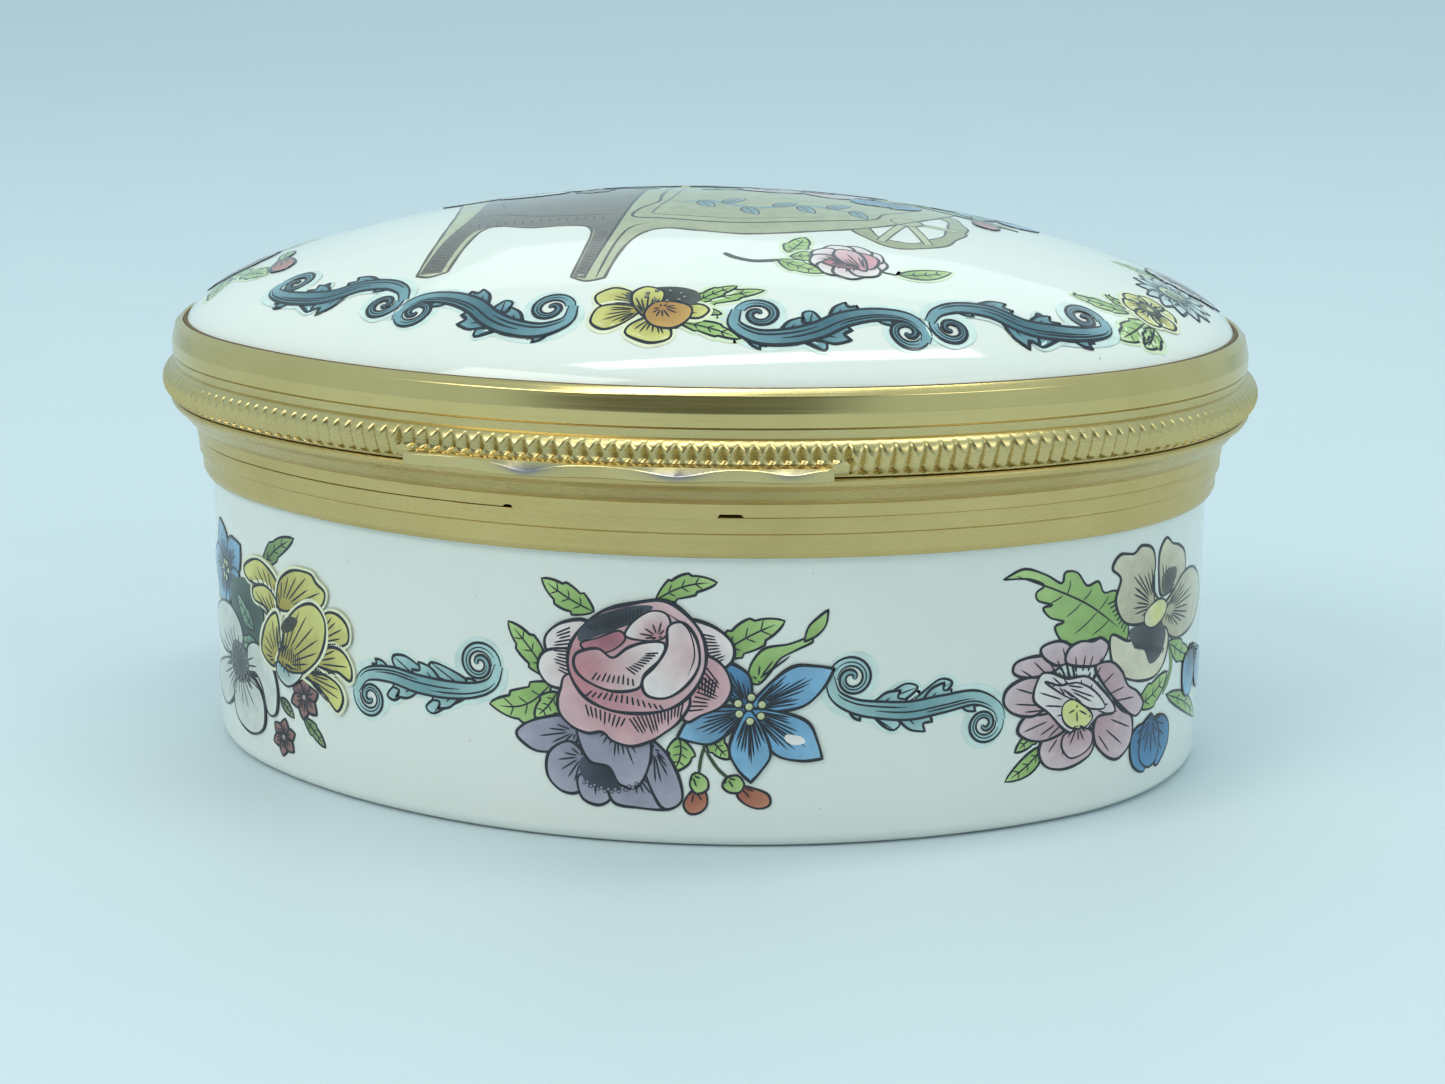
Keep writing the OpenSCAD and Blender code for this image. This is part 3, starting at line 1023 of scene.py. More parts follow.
# %% Lay paint on a surface
def enamel_paint():
    """Coloured glass over the fired white: the same gloss, colour from the points."""
    material, tree, shader = new_material("overglaze_enamel_colours")
    tint = node(tree, "ShaderNodeAttribute", attribute_name="tint").outputs["Color"]
    place = node(tree, "ShaderNodeTexCoord").outputs["Object"]
    thin = node(tree, "ShaderNodeTexNoise", {"Vector": place, "Scale": 1 / (0.8 * MM),
                                             "Detail": 4.0})
    uneven = node(tree, "ShaderNodeMapRange", {
        "Value": thin.outputs["Fac"], "From Min": 0.3, "From Max": 0.7, "To Min": 0.9,
        "To Max": 1.1})
    wash = node(tree, "ShaderNodeVectorMath", {0: tint}, operation="SCALE")
    tree.links.new(uneven.outputs["Result"], wash.inputs["Scale"])
    tree.links.new(wash.outputs["Vector"], shader.inputs["Base Color"])
    shader.inputs["Roughness"].default_value = 0.12
    shader.inputs["IOR"].default_value = 1.52
    return material


PAINT = enamel_paint()
PAINT_SUNK, BASE_COAT, WALL_STEP = -0.02, 0.012, 0.0022


def on_wall(u, v, lift):
    """A point of the base wall at arc length u and height v, and its normal."""
    phi = normal_angle(u)
    x, y = oval_point(lift, phi)
    return (x, y, v), (math.cos(phi), math.sin(phi), 0.0)


def on_lid(x, y, lift):
    """A point of the dome above (x, y), and its normal."""
    e = 0.01
    z = dome_height(dome_share(x, y))
    dx = (dome_height(dome_share(x + e, y)) - dome_height(dome_share(x - e, y))) / (2 * e)
    dy = (dome_height(dome_share(x, y + e)) - dome_height(dome_share(x, y - e))) / (2 * e)
    normal = Vector((-dx, -dy, 1.0)).normalized()
    return tuple(Vector((x, y, z)) + normal * lift), tuple(normal)



def lay(art, name, surface, body, place, step=WALL_STEP, first=BASE_COAT):
    """Lays an artwork on a surface as one piece of closed slabs."""
    probe = [Vector(place(*p)) for p in ((0, 0), (1, 0), (0, 1))]
    mirrored = (probe[1] - probe[0]).cross(probe[2] - probe[0]) < 0
    verts, faces, tones, normals = [], [], [], []
    for flat, cells, colours, level in art.patches:
        base, n = len(verts), len(flat)
        for lift in (first + level * step, PAINT_SUNK):
            for p, colour in zip(flat, colours):
                at, normal = surface(*place(p.x, p.y), lift)
                verts.append(at)
                normals.append(normal)
                tones.append(colour)
        edges = {}
        for cell in cells:
            a, b, c = (flat[i] for i in cell[:3])
            turn = (b - a).cross(c - a) < 0
            ring = cell[::-1] if turn != mirrored else cell
            faces.append(tuple(base + i for i in ring))
            faces.append(tuple(base + n + i for i in ring[::-1]))
            for i, j in zip(ring, ring[1:] + ring[:1]):
                edges[(i, j)] = True
        for i, j in edges:
            if (j, i) not in edges:
                faces.append((base + i, base + n + i, base + n + j, base + j))
    mesh = bpy.data.meshes.new(name)
    mesh.from_pydata([Vector(v) * MM for v in verts], [], faces)
    mesh.shade_smooth()
    mesh.normals_split_custom_set_from_vertices(normals)
    layer = mesh.attributes.new("tint", "FLOAT_COLOR", "POINT")
    layer.data.foreach_set("color", [c for tone in tones for c in tone])
    mesh.materials.append(PAINT)
    piece = bpy.data.objects.new(name, mesh)
    bpy.context.scene.collection.objects.link(piece)
    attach(piece, body)
    print(name, len(faces), "faces")
    return piece

# %% [markdown]
# ### The middle bouquet
#
# A full-blown rose sits over a grey anemone, with a blue star flower at its
# right, toothed leaves all round and two buds below. It is drawn from the back
# to the front, as a painter would lay it, so each wash covers what is behind.

# %% Rose colours and leaves behind
ROSE, BLUSH, CREAM = "#C4808A", "#DFB9BC", "#F0E6E2"
SLATE, MIST = "#858094", "#B2ADBD"
NAVY, AZURE, SKY = "#35587F", "#5C93BE", "#8FBCDA"
STRAW, OCHRE = "#E0DA86", "#A08C38"
TEAL, SEA = "#6F9AA0", "#B4D2D0"
PALE_SEA, PALE_STRAW = "#D8E7E1", "#ECEAC8"
ANTHER, ANTHER_PALE = "#B9BC84", "#EDEFC8"

middle = Artwork()
middle.leaf((-1.4, 11.2), (-3.9, 12.6), 1.25, 3, 0.1)
middle.leaf((1.5, 11.9), (4.3, 12.8), 1.1, 3, 0.25)
middle.leaf((4.3, 9.3), (7.4, 11.0), 1.5, 3, 0.15)
middle.leaf((-3.6, 7.9), (-5.6, 10.4), 1.2, 3, -0.1)
middle.leaf((-3.5, 7.6), (-6.6, 6.3), 1.7, 3, 0.55)
middle.leaf((-3.2, 7.2), (-4.3, 5.9), 1.1, 2, 0.1)
middle.leaf((2.6, 5.4), (2.3, 3.7), 1.25, 2, 0.2)
middle.leaf((3.9, 5.5), (4.9, 4.4), 0.9, 2, 0.0)

# %% Curling leaf and buds
middle.petal([(5.7, 8.2, 1), (5.9, 9.0), (6.5, 9.7), (7.6, 9.9), (8.5, 10.2), (8.7, 10.0),
              (7.9, 9.6), (7.2, 9.2), (6.7, 8.5), (6.2, 8.0)], LEAF, LIME, (6.2, 8.2), rays=5,
             width=0.11)
middle.petal([(8.3, 10.0, 1), (8.5, 10.7), (9.0, 11.2), (9.4, 11.5, 1), (9.3, 10.8), (8.9, 10.3)],
             LEAF, LIME, (8.4, 10.1), width=0.11)
for stem in ([(3.9, 5.4), (3.6, 4.4), (3.5, 3.5)], [(3.8, 4.8), (4.4, 3.9), (5.1, 3.3)]):
    middle.pen(stem, 0.16, "#3D4A30")
for pod, bud in (
    ([(3.2, 3.6), (3.5, 3.7), (3.9, 3.4), (3.9, 2.9), (3.4, 2.7), (3.1, 3.1)],
     [(3.3, 2.9), (3.8, 2.8), (3.9, 2.2), (3.6, 1.8), (3.1, 1.7), (2.8, 2.1), (3.0, 2.6)]),
    ([(4.8, 3.5), (5.3, 3.6), (5.6, 3.2), (5.4, 2.8), (4.9, 2.8), (4.6, 3.1)],
     [(5.4, 3.1), (6.0, 3.0), (6.7, 2.7), (6.8, 2.2), (6.3, 2.0), (5.7, 2.2), (5.3, 2.6)])):
    middle.petal(bud, "#A4523C", "#C98268", bud[0], rays=3, width=0.11)
    middle.petal(pod, LEAF, LIME, pod[0], rays=3, width=0.11)

# %% The anemone below
middle.petal([(-2.6, 6.1), (-4.0, 5.9), (-5.0, 5.4), (-5.2, 4.9), (-4.3, 4.3), (-3.2, 4.4),
              (-2.2, 5.0)],
             SLATE, MIST, (-2.3, 5.4), rays=6)
middle.petal([(-2.6, 4.9), (-3.6, 4.3), (-3.7, 3.2), (-3.1, 2.5), (-2.3, 2.4), (-1.6, 3.0),
              (-1.8, 4.2)],
             SLATE, MIST, (-2.0, 4.2), rays=7)
middle.petal([(-2.2, 3.2), (-2.0, 2.2), (-1.2, 1.9), (-0.6, 2.3), (-0.6, 3.1), (-1.4, 3.5)],
             SLATE, MIST, (-1.4, 3.3), rays=5)
middle.petal([(-0.7, 3.1), (-0.5, 2.1), (0.6, 1.9), (2.1, 1.9), (2.6, 2.5), (1.9, 3.4), (0.5, 3.6)],
             SLATE, MIST, (0.6, 3.5), rays=9)
middle.petal([(1.2, 5.2), (2.0, 4.6), (2.6, 3.4), (2.7, 2.3), (1.9, 1.9), (1.3, 2.8), (0.9, 4.2)],
             SLATE, MIST, (1.4, 4.8), rays=7)
middle.wash([(-2.1, 4.0), (-1.9, 3.1), (-1.1, 2.7), (0.2, 2.8), (0.9, 3.3), (0.4, 4.2),
             (-1.2, 4.6)], INK, "#4A5060")
middle.petal([(-2.1, 5.8), (-2.1, 4.9), (-1.6, 4.0), (-0.7, 3.8), (-0.2, 3.0), (0.6, 2.9),
              (1.1, 3.7),
              (1.3, 4.9), (1.0, 5.9), (-0.4, 6.2)], SLATE, MIST, (-0.3, 6.0), rays=13,
             length=(0.1, 0.62))
for k in range(16):
    t = k / 15
    middle.bead(-1.9 + 2.5 * t, 2.95 - 0.35 * math.sin(math.pi * t) + 0.12 * (k % 2), 0.08, SLATE,
                MIST, 0.03)

# %% The star flower
def petal_to(art, root, tip, width, dark, light, rays=5, blunt=0.0, halo=None):
    """A petal from a root to a tip: sharp, or round if blunt is near 1."""
    root, tip = Vector(root), Vector(tip)
    along = tip - root
    side = Vector((-along.y, along.x)).normalized() * width / 2
    outline = [tuple(root + along * a + side * s) for a, s in (
        (0, 0), (0.3, 0.7), (0.62, 1), (0.85, 0.5 + 0.35 * blunt), (1, 0.1 * blunt),
        (0.82, -0.6 - 0.3 * blunt), (0.55, -1), (0.25, -0.65))]
    if blunt < 0.5:
        outline[4] = (*outline[4], 1)
    art.petal(outline, dark, light, tuple(root), rays, span=(0.25, 0.75), length=(0.2, 0.72),
              halo=halo)


heart = (5.8, 6.8)
petal_to(middle, heart, (4.6, 9.1), 1.5, NAVY, AZURE, 6)
petal_to(middle, heart, (2.5, 5.4), 1.7, NAVY, SKY, 6)
petal_to(middle, heart, (9.7, 8.7), 1.9, AZURE, SKY, 8)
petal_to(middle, heart, (9.2, 4.4), 2.1, AZURE, SKY, 8)
petal_to(middle, heart, (5.9, 3.3), 1.9, AZURE, SKY, 8)
middle.wash([(7.5, 5.6), (8.2, 5.5), (8.4, 5.2), (7.9, 5.1), (7.5, 5.3)], CREAM, CREAM)
for x, y in ((5.8, 6.95), (5.35, 6.6), (5.85, 6.25), (6.35, 6.5), (6.4, 7.05), (5.9, 7.4),
             (5.3, 7.1)):
    middle.bead(x, y, 0.2, ANTHER, ANTHER_PALE)

# %% The rose: petals behind the cup
middle.petal([(2.8, 10.9), (4.0, 10.8), (5.0, 10.0), (5.0, 9.1), (4.1, 8.6), (3.2, 9.0)],
             BLUSH, CREAM, (3.3, 9.6), rays=0)
middle.fringe((3.5, 10.5), (4.0, 8.8), (6.0, 9.9), 9, 0.75)
middle.petal([(3.4, 9.3), (4.5, 9.0), (5.0, 7.9), (4.6, 7.0), (3.6, 6.5), (2.9, 6.2), (2.5, 7.2)],
             ROSE, BLUSH, (3.2, 8.2), rays=0)
middle.fringe((3.9, 8.9), (3.0, 6.6), (5.2, 7.0), 10, 0.9)
middle.fringe((3.4, 8.4), (4.4, 8.2), (3.6, 5.0), 6, 0.9)
middle.petal([(-1.7, 10.7), (-2.9, 10.6), (-3.7, 9.9), (-3.6, 9.1), (-2.9, 8.6), (-2.0, 9.2)],
             BLUSH, CREAM, (-2.0, 9.4), rays=0)
middle.petal([(-2.4, 9.3), (-3.7, 9.2), (-4.1, 8.4), (-3.6, 7.6), (-2.7, 7.5), (-2.0, 8.2)],
             BLUSH, CREAM, (-2.2, 8.4), rays=0)
middle.fringe((-2.5, 10.5), (-2.5, 8.0), (-5.0, 9.2), 13, 0.75)
middle.petal([(-2.2, 8.3), (-3.0, 7.4), (-3.1, 6.4), (-2.5, 5.7), (-1.7, 5.4), (-1.0, 5.5),
              (-0.5, 5.1),
              (0.4, 4.9), (1.3, 5.2), (1.9, 5.6), (2.6, 6.2), (3.1, 7.2), (2.4, 8.2)],
             ROSE, BLUSH, (0.1, 7.6), rays=0)
middle.fringe((-1.9, 6.8), (0.2, 6.2), (-1.0, 4.0), 9, 0.65)
middle.fringe((0.2, 6.2), (2.9, 7.3), (2.1, 3.6), 15, 0.95)

# %% The rose: cup and heart
middle.petal([(-1.8, 10.6), (-2.5, 9.6), (-2.6, 8.4), (-1.9, 7.2), (-0.7, 6.6), (0.8, 6.5),
              (2.2, 6.8),
              (3.2, 7.6), (3.8, 8.9), (3.7, 10.2), (3.0, 11.2), (1.9, 11.9), (0.4, 11.7),
              (-0.9, 11.3)],
             ROSE, BLUSH, (-1.8, 7.8), rays=0, width=0.16)
middle.wash([(-2.0, 10.4), (-1.1, 11.1), (0.4, 11.6), (1.4, 11.6), (0.6, 10.9), (-0.2, 10.5),
             (-1.4, 10.0),
             (-2.1, 9.8)], "#2A2C34", "#4B4E58")
middle.fringe((-1.8, 10.5), (1.0, 11.6), (0.2, 9.6), 15, 0.5, 0.09)
middle.petal([(-2.0, 9.7), (-1.2, 10.0), (-0.2, 10.4), (0.1, 10.0), (-0.6, 9.4), (-1.6, 9.3)],
             "#9C5F6B", ROSE, (-0.8, 10.0), rays=0, width=0.1)
middle.petal([(-2.2, 9.2), (-1.2, 9.5), (-0.5, 9.1), (0.2, 9.6), (1.0, 9.9), (1.9, 9.9), (1.8, 9.2),
              (1.0, 8.4), (0.7, 7.7), (-0.5, 7.5), (-1.7, 7.9), (-2.3, 8.5)], ROSE, CREAM,
             (-1.8, 8.6), rays=0)
middle.fringe((-1.6, 8.0), (0.6, 7.8), (0.2, 10.4), 9, 0.45)
middle.fringe((0.5, 8.3), (1.7, 9.5), (-0.6, 9.2), 9, 0.6)
middle.petal([(0.1, 10.2), (0.5, 10.9), (1.3, 11.4), (2.0, 11.3), (2.2, 10.7), (1.8, 10.1),
              (0.9, 10.0)],
             ROSE, CREAM, (1.6, 10.2), rays=6, width=0.1, length=(0.15, 0.6))
middle.petal([(0.9, 8.1), (1.5, 8.8), (2.0, 9.7), (2.1, 10.7), (2.8, 10.9), (3.4, 10.1), (3.5, 8.9),
              (2.9, 7.9), (2.0, 7.3), (1.1, 7.4)], BLUSH, CREAM, (3.2, 9.4), rays=0)
middle.pen([(2.1, 11.3), (3.0, 10.6), (3.3, 9.4), (3.0, 8.4)], 0.07)
middle.fringe((-1.9, 7.2), (2.0, 6.7), (0.2, 9.0), 14, 0.4)
print("middle bouquet:", len(middle.patches), "patches")

# %% [markdown]
# ### The scrolls
#
# Between the bouquets runs a leafy S scroll: a stem with a volute at each end
# and acanthus tips that spring from it. One function draws the stem as a band
# of changing width along a line, and the two volutes continue it.

# %% Scrollwork
def scroll(art, line, first, last, tips, dark=TEAL, light=SEA, width=0.8, ink=0.13):
    """A scroll: stem line, volutes (x, y, r, turns, start, spin) at its ends, and tips."""
    art.pen(line, width + 0.55, PALE_SEA, ends=(0.7, 0.7))
    for x, y, r, *_ in (first, last):
        art.pen([(x + r * math.cos(k), y + r * math.sin(k)) for k in range(6)], 0.5, PALE_SEA,
                closed=True)
    for tip in tips:
        art.petal(tip, dark, light, tip[0][:2], rays=0, width=ink, halo=PALE_SEA)
        art.pen([tip[0], tip[len(tip) // 2]], 0.08)
    stem = flowing(line, False)
    n = len(stem)
    left, right_edge = [], []
    for i, p in enumerate(stem):
        d = (stem[min(i + 1, n - 1)] - stem[max(i - 1, 0)]).normalized()
        t = i / (n - 1)
        w = width * (0.5 + 0.6 * math.sin(math.pi * t)) / 2
        left.append(p + Vector((-d.y, d.x)) * w)
        right_edge.append(p - Vector((-d.y, d.x)) * w)
    for share, s in ((0.2, -0.6), (0.34, 1), (0.46, -1.1), (0.58, 1), (0.74, -0.7)):
        p = stem[int(share * n)]
        d = (stem[int(share * n) + 2] - p).normalized() * width * abs(s)
        o = Vector((-d.y, d.x)) * (1 if s > 0 else -1)
        hook = [tuple(p + d * a + o * b) for a, b in (
            (-0.6, 0.2), (-0.3, 0.7), (0.2, 1.1), (0.95, 1.25), (0.85, 0.8), (1.35, 0.75),
            (1.0, 0.2))]
        hook[3], hook[5] = (*hook[3], 1), (*hook[5], 1)
        art.petal(hook, dark, light, tuple(p), rays=0, width=ink)
        art.pen([p, p + d * 0.1 + o * 0.5, p + d * 0.4 + o * 0.8], 0.08)
    for volute in (first, last):
        art.spiral(*volute, dark, light, ink=ink)
    art.wash(None, dark, light, tuple(stem[n // 2]), closed_line=left + right_edge[::-1])
    art.pen(left, ink, smooth=False)
    art.pen(right_edge, ink, smooth=False)
    for share, low, high in ((0.4, 0.1, 0.5), (-0.15, 0.3, 0.85), (-0.5, 0.55, 0.95)):
        shade = [stem[i] + (left[i] - stem[i]) * share
                 for i in range(int(n * low), int(n * high), 3)]
        art.pen(shade, ink * 0.7)


scroll_left = Artwork()
scroll(scroll_left,
       [(-6.1, 8.2), (-6.5, 7.3), (-7.5, 6.85), (-9.0, 6.7), (-10.6, 6.75), (-12.2, 6.95),
        (-13.7, 6.7), (-14.45, 5.8)],
       (-7.15, 8.2, 1.05, 1.6, -0.1, 1), (-13.5, 5.6, 0.98, 1.5, 2.9, 1),
       [[(-10.2, 6.8), (-11.0, 7.1), (-11.9, 7.4), (-12.0, 7.9), (-11.3, 8.0), (-10.4, 7.6),
         (-9.6, 7.1)],
        [(-8.0, 6.9), (-8.9, 7.1), (-9.8, 7.4), (-9.8, 7.9), (-9.0, 7.8), (-7.8, 7.3)],
        [(-8.6, 6.8), (-9.4, 6.3), (-10.1, 5.7), (-9.7, 5.4), (-9.0, 5.8), (-7.8, 6.5)],
        [(-11.4, 6.8), (-12.0, 6.4), (-12.4, 5.9), (-12.0, 5.7), (-11.5, 6.0), (-10.8, 6.5)]])
scroll_right = Artwork()
scroll(scroll_right,
       [(9.5, 8.3), (9.8, 7.4), (10.7, 6.85), (12.0, 6.6), (13.4, 6.5), (15.0, 6.7), (16.6, 6.85),
        (17.7, 6.3), (18.0, 5.6)],
       (10.55, 8.2, 1.05, 1.6, 3.2, -1), (17.1, 5.5, 0.92, 1.5, 0.2, -1),
       [[(13.0, 6.6), (13.9, 7.3), (14.8, 7.9), (15.4, 7.7), (15.0, 7.2), (14.0, 6.7)],
        [(11.2, 6.8), (12.2, 7.3), (13.1, 7.8), (13.7, 7.6), (13.2, 7.1), (12.3, 6.6)],
        [(10.7, 6.9), (11.5, 6.4), (12.1, 5.8), (12.6, 5.6), (12.9, 6.0), (12.4, 6.6)]])
print("scrolls:", len(scroll_left.patches) + len(scroll_right.patches), "patches")

# %% [markdown]
# ### The right bouquet
#
# A big jagged leaf, a cream pansy and a pink peony with a yellow heart, over a
# blue bud, with bells and long leaves running on round the end of the box.

# %% Right bouquet: leaves
aside = Artwork()
aside.petal([(17.9, 12.4, 1), (19.0, 12.8), (20.2, 12.4), (21.1, 11.9), (21.3, 12.4), (22.0, 12.3),
             (22.6, 11.6), (23.3, 11.7), (23.7, 11.1), (24.6, 11.0), (25.4, 9.6), (25.4, 8.4),
             (24.4, 8.5),
             (23.4, 8.9), (22.0, 8.8), (21.2, 9.1), (20.8, 9.8), (21.3, 10.0), (20.5, 10.3),
             (20.1, 10.8),
             (20.6, 10.9), (19.8, 11.2), (19.7, 11.6), (20.1, 11.9), (19.2, 12.3)],
            LEAF, LIME, (24.6, 9.2), rays=0, width=0.12)
aside.pen([(18.6, 12.5), (20.8, 11.6), (22.8, 10.6), (24.8, 9.2)], 0.1)
for a, b in (((21.4, 11.3), (21.6, 12.0)), ((22.4, 10.9), (22.9, 11.4)),
             ((23.4, 10.3), (24.0, 10.9)),
             ((21.2, 11.3), (20.5, 11.0)), ((22.3, 10.8), (21.4, 10.2)),
             ((23.3, 10.2), (21.9, 9.3)),
             ((24.1, 9.7), (23.0, 9.1))):
    aside.pen([a, ((a[0] + b[0]) / 2 + 0.08, (a[1] + b[1]) / 2), b], 0.07)
aside.fringe((23.9, 10.6), (25.2, 8.8), (26.5, 11.0), 8, 0.7)
aside.leaf((20.4, 4.0), (18.3, 2.5), 0.95, 0, 0.15)
aside.leaf((20.3, 5.0), (18.8, 3.9), 0.8, 2, 0.0)
aside.leaf((26.4, 4.9), (29.2, 6.1), 1.3, 2, -0.2)
aside.leaf((29.2, 4.9), (34.6, 2.3), 0.95, 0, 0.2)
aside.leaf((29.2, 7.6), (32.6, 6.1), 1.1, 2, -0.15)
aside.pen([(29.3, 7.6), (29.6, 6.2), (28.8, 5.0)], 0.3, "#7F9A62")

# %% Right bouquet: pansy
SAND, SHELL = "#B3A78A", "#E2D6BC"
aside.petal([(28.2, 10.2), (27.9, 11.2), (27.9, 12.4), (28.5, 13.0), (29.2, 12.6), (29.9, 12.4),
             (30.7, 11.9),
             (30.9, 11.0), (30.2, 10.4), (29.2, 10.2)], SAND, SHELL, (28.6, 10.2), rays=9)
aside.petal([(28.2, 9.4), (29.4, 10.1), (30.6, 10.8), (32.2, 10.8), (33.6, 10.0), (34.2, 9.0),
             (33.2, 8.0),
             (31.4, 7.6), (29.8, 7.7), (28.6, 8.4)], SAND, SHELL, (28.8, 9.3), rays=13)
aside.petal([(24.3, 8.9), (24.4, 7.6), (25.2, 6.7), (26.6, 6.2), (28.0, 6.2), (28.9, 6.9),
             (29.1, 8.0),
             (28.4, 8.6), (26.8, 8.7), (25.6, 8.4)], SHELL, SHELL, (27.4, 8.8), rays=0)
aside.wash([(25.6, 8.9), (26.0, 8.0), (26.8, 7.7), (27.4, 6.9), (28.4, 7.2), (28.8, 8.2),
            (28.0, 8.9),
            (26.8, 9.0)], "#33343A", "#5B5C60")
aside.fringe((25.8, 8.3), (28.8, 7.4), (27.2, 5.4), 14, 0.4)
aside.petal([(27.7, 9.6), (26.6, 9.1), (25.2, 9.4), (24.5, 10.5), (24.8, 11.6), (24.2, 12.2),
             (24.7, 12.8),
             (25.7, 12.7), (26.3, 13.0), (27.2, 12.7), (27.5, 11.8), (27.3, 10.8), (27.9, 10.0)],
            SAND, SHELL, (27.6, 9.8), rays=14, length=(0.2, 0.6))
aside.wash([(28.3, 10.3), (28.2, 11.0), (28.8, 11.4), (29.7, 11.3), (29.6, 10.7), (28.9, 10.2)],
           "#3A3936", "#6A655C")
aside.petal([(26.8, 9.6), (27.6, 10.0), (28.3, 10.0), (28.8, 9.6), (28.4, 9.0), (27.5, 8.7),
             (26.8, 9.0)],
            STRAW, SHELL, (27.9, 9.4), rays=0, width=0.1)

# %% Right bouquet: peony
BLOOM, PETAL = "#B27F89", "#DDC4C8"
for shape in (
    [(20.6, 7.6), (19.4, 7.5), (18.6, 7.8), (18.7, 8.3), (19.6, 8.5), (20.8, 8.4), (21.2, 7.9)],
    [(21.0, 7.9), (20.2, 8.4), (20.1, 8.9), (21.0, 9.1), (21.7, 8.8), (21.8, 8.1)],
    [(21.6, 7.9), (21.6, 8.6), (22.3, 8.9), (23.1, 8.8), (23.6, 8.9), (24.1, 8.4), (23.4, 7.6)],
    [(23.3, 7.5), (24.3, 7.6), (25.1, 7.0), (25.6, 6.2), (26.4, 5.7), (26.9, 5.0), (26.3, 4.5),
     (25.2, 5.2), (24.0, 6.4)],
    [(24.2, 5.7), (25.2, 5.0), (26.0, 4.5), (26.0, 3.3), (25.1, 2.6), (24.2, 2.9), (23.4, 3.8),
     (23.4, 4.8)],
    [(20.6, 4.6), (20.1, 3.8), (20.5, 3.0), (21.5, 2.7), (22.6, 2.9), (23.3, 3.4), (23.2, 4.4),
     (22.0, 4.8)],
    [(20.4, 5.8), (19.3, 5.6), (18.9, 4.9), (19.6, 4.4), (20.6, 4.3), (21.6, 4.7), (21.6, 5.6)],
    [(20.4, 7.2), (19.3, 7.5), (18.3, 7.1), (18.1, 6.4), (18.7, 5.8), (19.8, 5.6), (20.6, 6.2)],
):
    aside.petal(shape, BLOOM, PETAL, (22.3, 5.7), rays=6, length=(0.55, 0.86))
aside.petal([(20.0, 7.5), (20.6, 7.6), (21.6, 7.2), (22.8, 7.1), (23.8, 6.3), (24.6, 5.4),
             (24.6, 5.0),
             (23.6, 5.0), (22.6, 4.3), (21.6, 4.6), (20.6, 5.6), (19.7, 6.4)], PETAL, CREAM,
            (22.8, 5.6), rays=9,
            length=(0.5, 0.9))
aside.petal([(21.4, 5.9), (21.4, 5.2), (21.9, 4.7), (22.7, 4.6), (23.2, 5.0), (22.9, 5.5),
             (22.0, 6.1)],
            STRAW, "#E6E2A2", (22.2, 5.6), rays=3, width=0.1)
aside.petal([(20.3, 7.2), (21.2, 6.9), (22.2, 6.9), (23.3, 6.3), (24.0, 5.4), (23.0, 5.5),
             (22.2, 6.0),
             (21.4, 6.4)], PETAL, CREAM, (21.0, 7.0), rays=7, width=0.1, length=(0.3, 0.8))
aside.petal([(21.9, 3.2), (21.4, 3.8), (21.5, 4.4), (22.0, 4.5), (22.6, 4.6), (23.2, 4.3),
             (23.2, 3.7),
             (22.7, 3.3)], BLOOM, PETAL, (22.3, 4.8), rays=6, width=0.1)

# %% Right bouquet: bud and bells
for shape in (
    [(26.1, 3.6), (26.0, 2.6), (26.4, 1.8), (27.2, 1.5), (27.4, 2.6), (27.0, 3.9)],
    [(28.0, 3.8), (28.8, 4.0), (29.5, 3.4), (29.5, 2.5), (28.9, 1.8), (28.2, 1.6)],
    [(26.7, 3.0), (26.8, 2.1), (27.5, 1.6), (28.2, 1.8), (28.5, 2.7), (28.3, 3.6), (27.7, 4.3, 1),
     (27.0, 3.9)],
):
    aside.petal(shape, NAVY, AZURE, (27.6, 4.0), rays=6, width=0.11, length=(0.2, 0.8))
for shape in (
    [(31.3, 6.2), (31.2, 5.0), (31.8, 4.2), (32.8, 4.3), (33.2, 5.4), (32.6, 6.4)],
    [(33.4, 5.6), (33.6, 4.6), (34.4, 4.0), (35.3, 4.5), (35.4, 5.4), (34.5, 6.1)],
):
    aside.petal(shape, NAVY, SKY, (32.6, 6.8), rays=6, width=0.11)
print("right bouquet:", len(aside.patches), "patches")

# %% [markdown]
# ### The left bouquet
#
# A striped yellow parrot tulip leads, with a blue star flower above it at the
# end of the box, a grey-white anemone below and little russet florets.

# %% Left bouquet: leaves and florets
corner = Artwork()
corner.leaf((-21.6, 10.6), (-18.7, 12.6), 1.0, 2, 0.2, "#6C8550", "#9DB57C")
corner.leaf((-18.3, 3.6), (-16.7, 2.4), 0.7, 2, 0.05, "#6C8550", "#A3B985")
corner.leaf((-20.2, 4.2), (-19.1, 3.4), 0.6, 0, 0.0, "#6C8550", "#A3B985")
for cx, cy, r in ((-18.2, 4.65, 1.15), (-20.0, 2.2, 1.0)):
    for k in range(6):
        a = k * math.pi / 3 + 0.4
        tip = (cx + r * math.cos(a), cy + r * math.sin(a))
        petal_to(corner, (cx, cy), tip, 0.75 * r / 1.15, "#6B4444", "#A77A74", 2)
    corner.bead(cx, cy, 0.16, "#8C6A66", "#D8C8C4", 0.05)

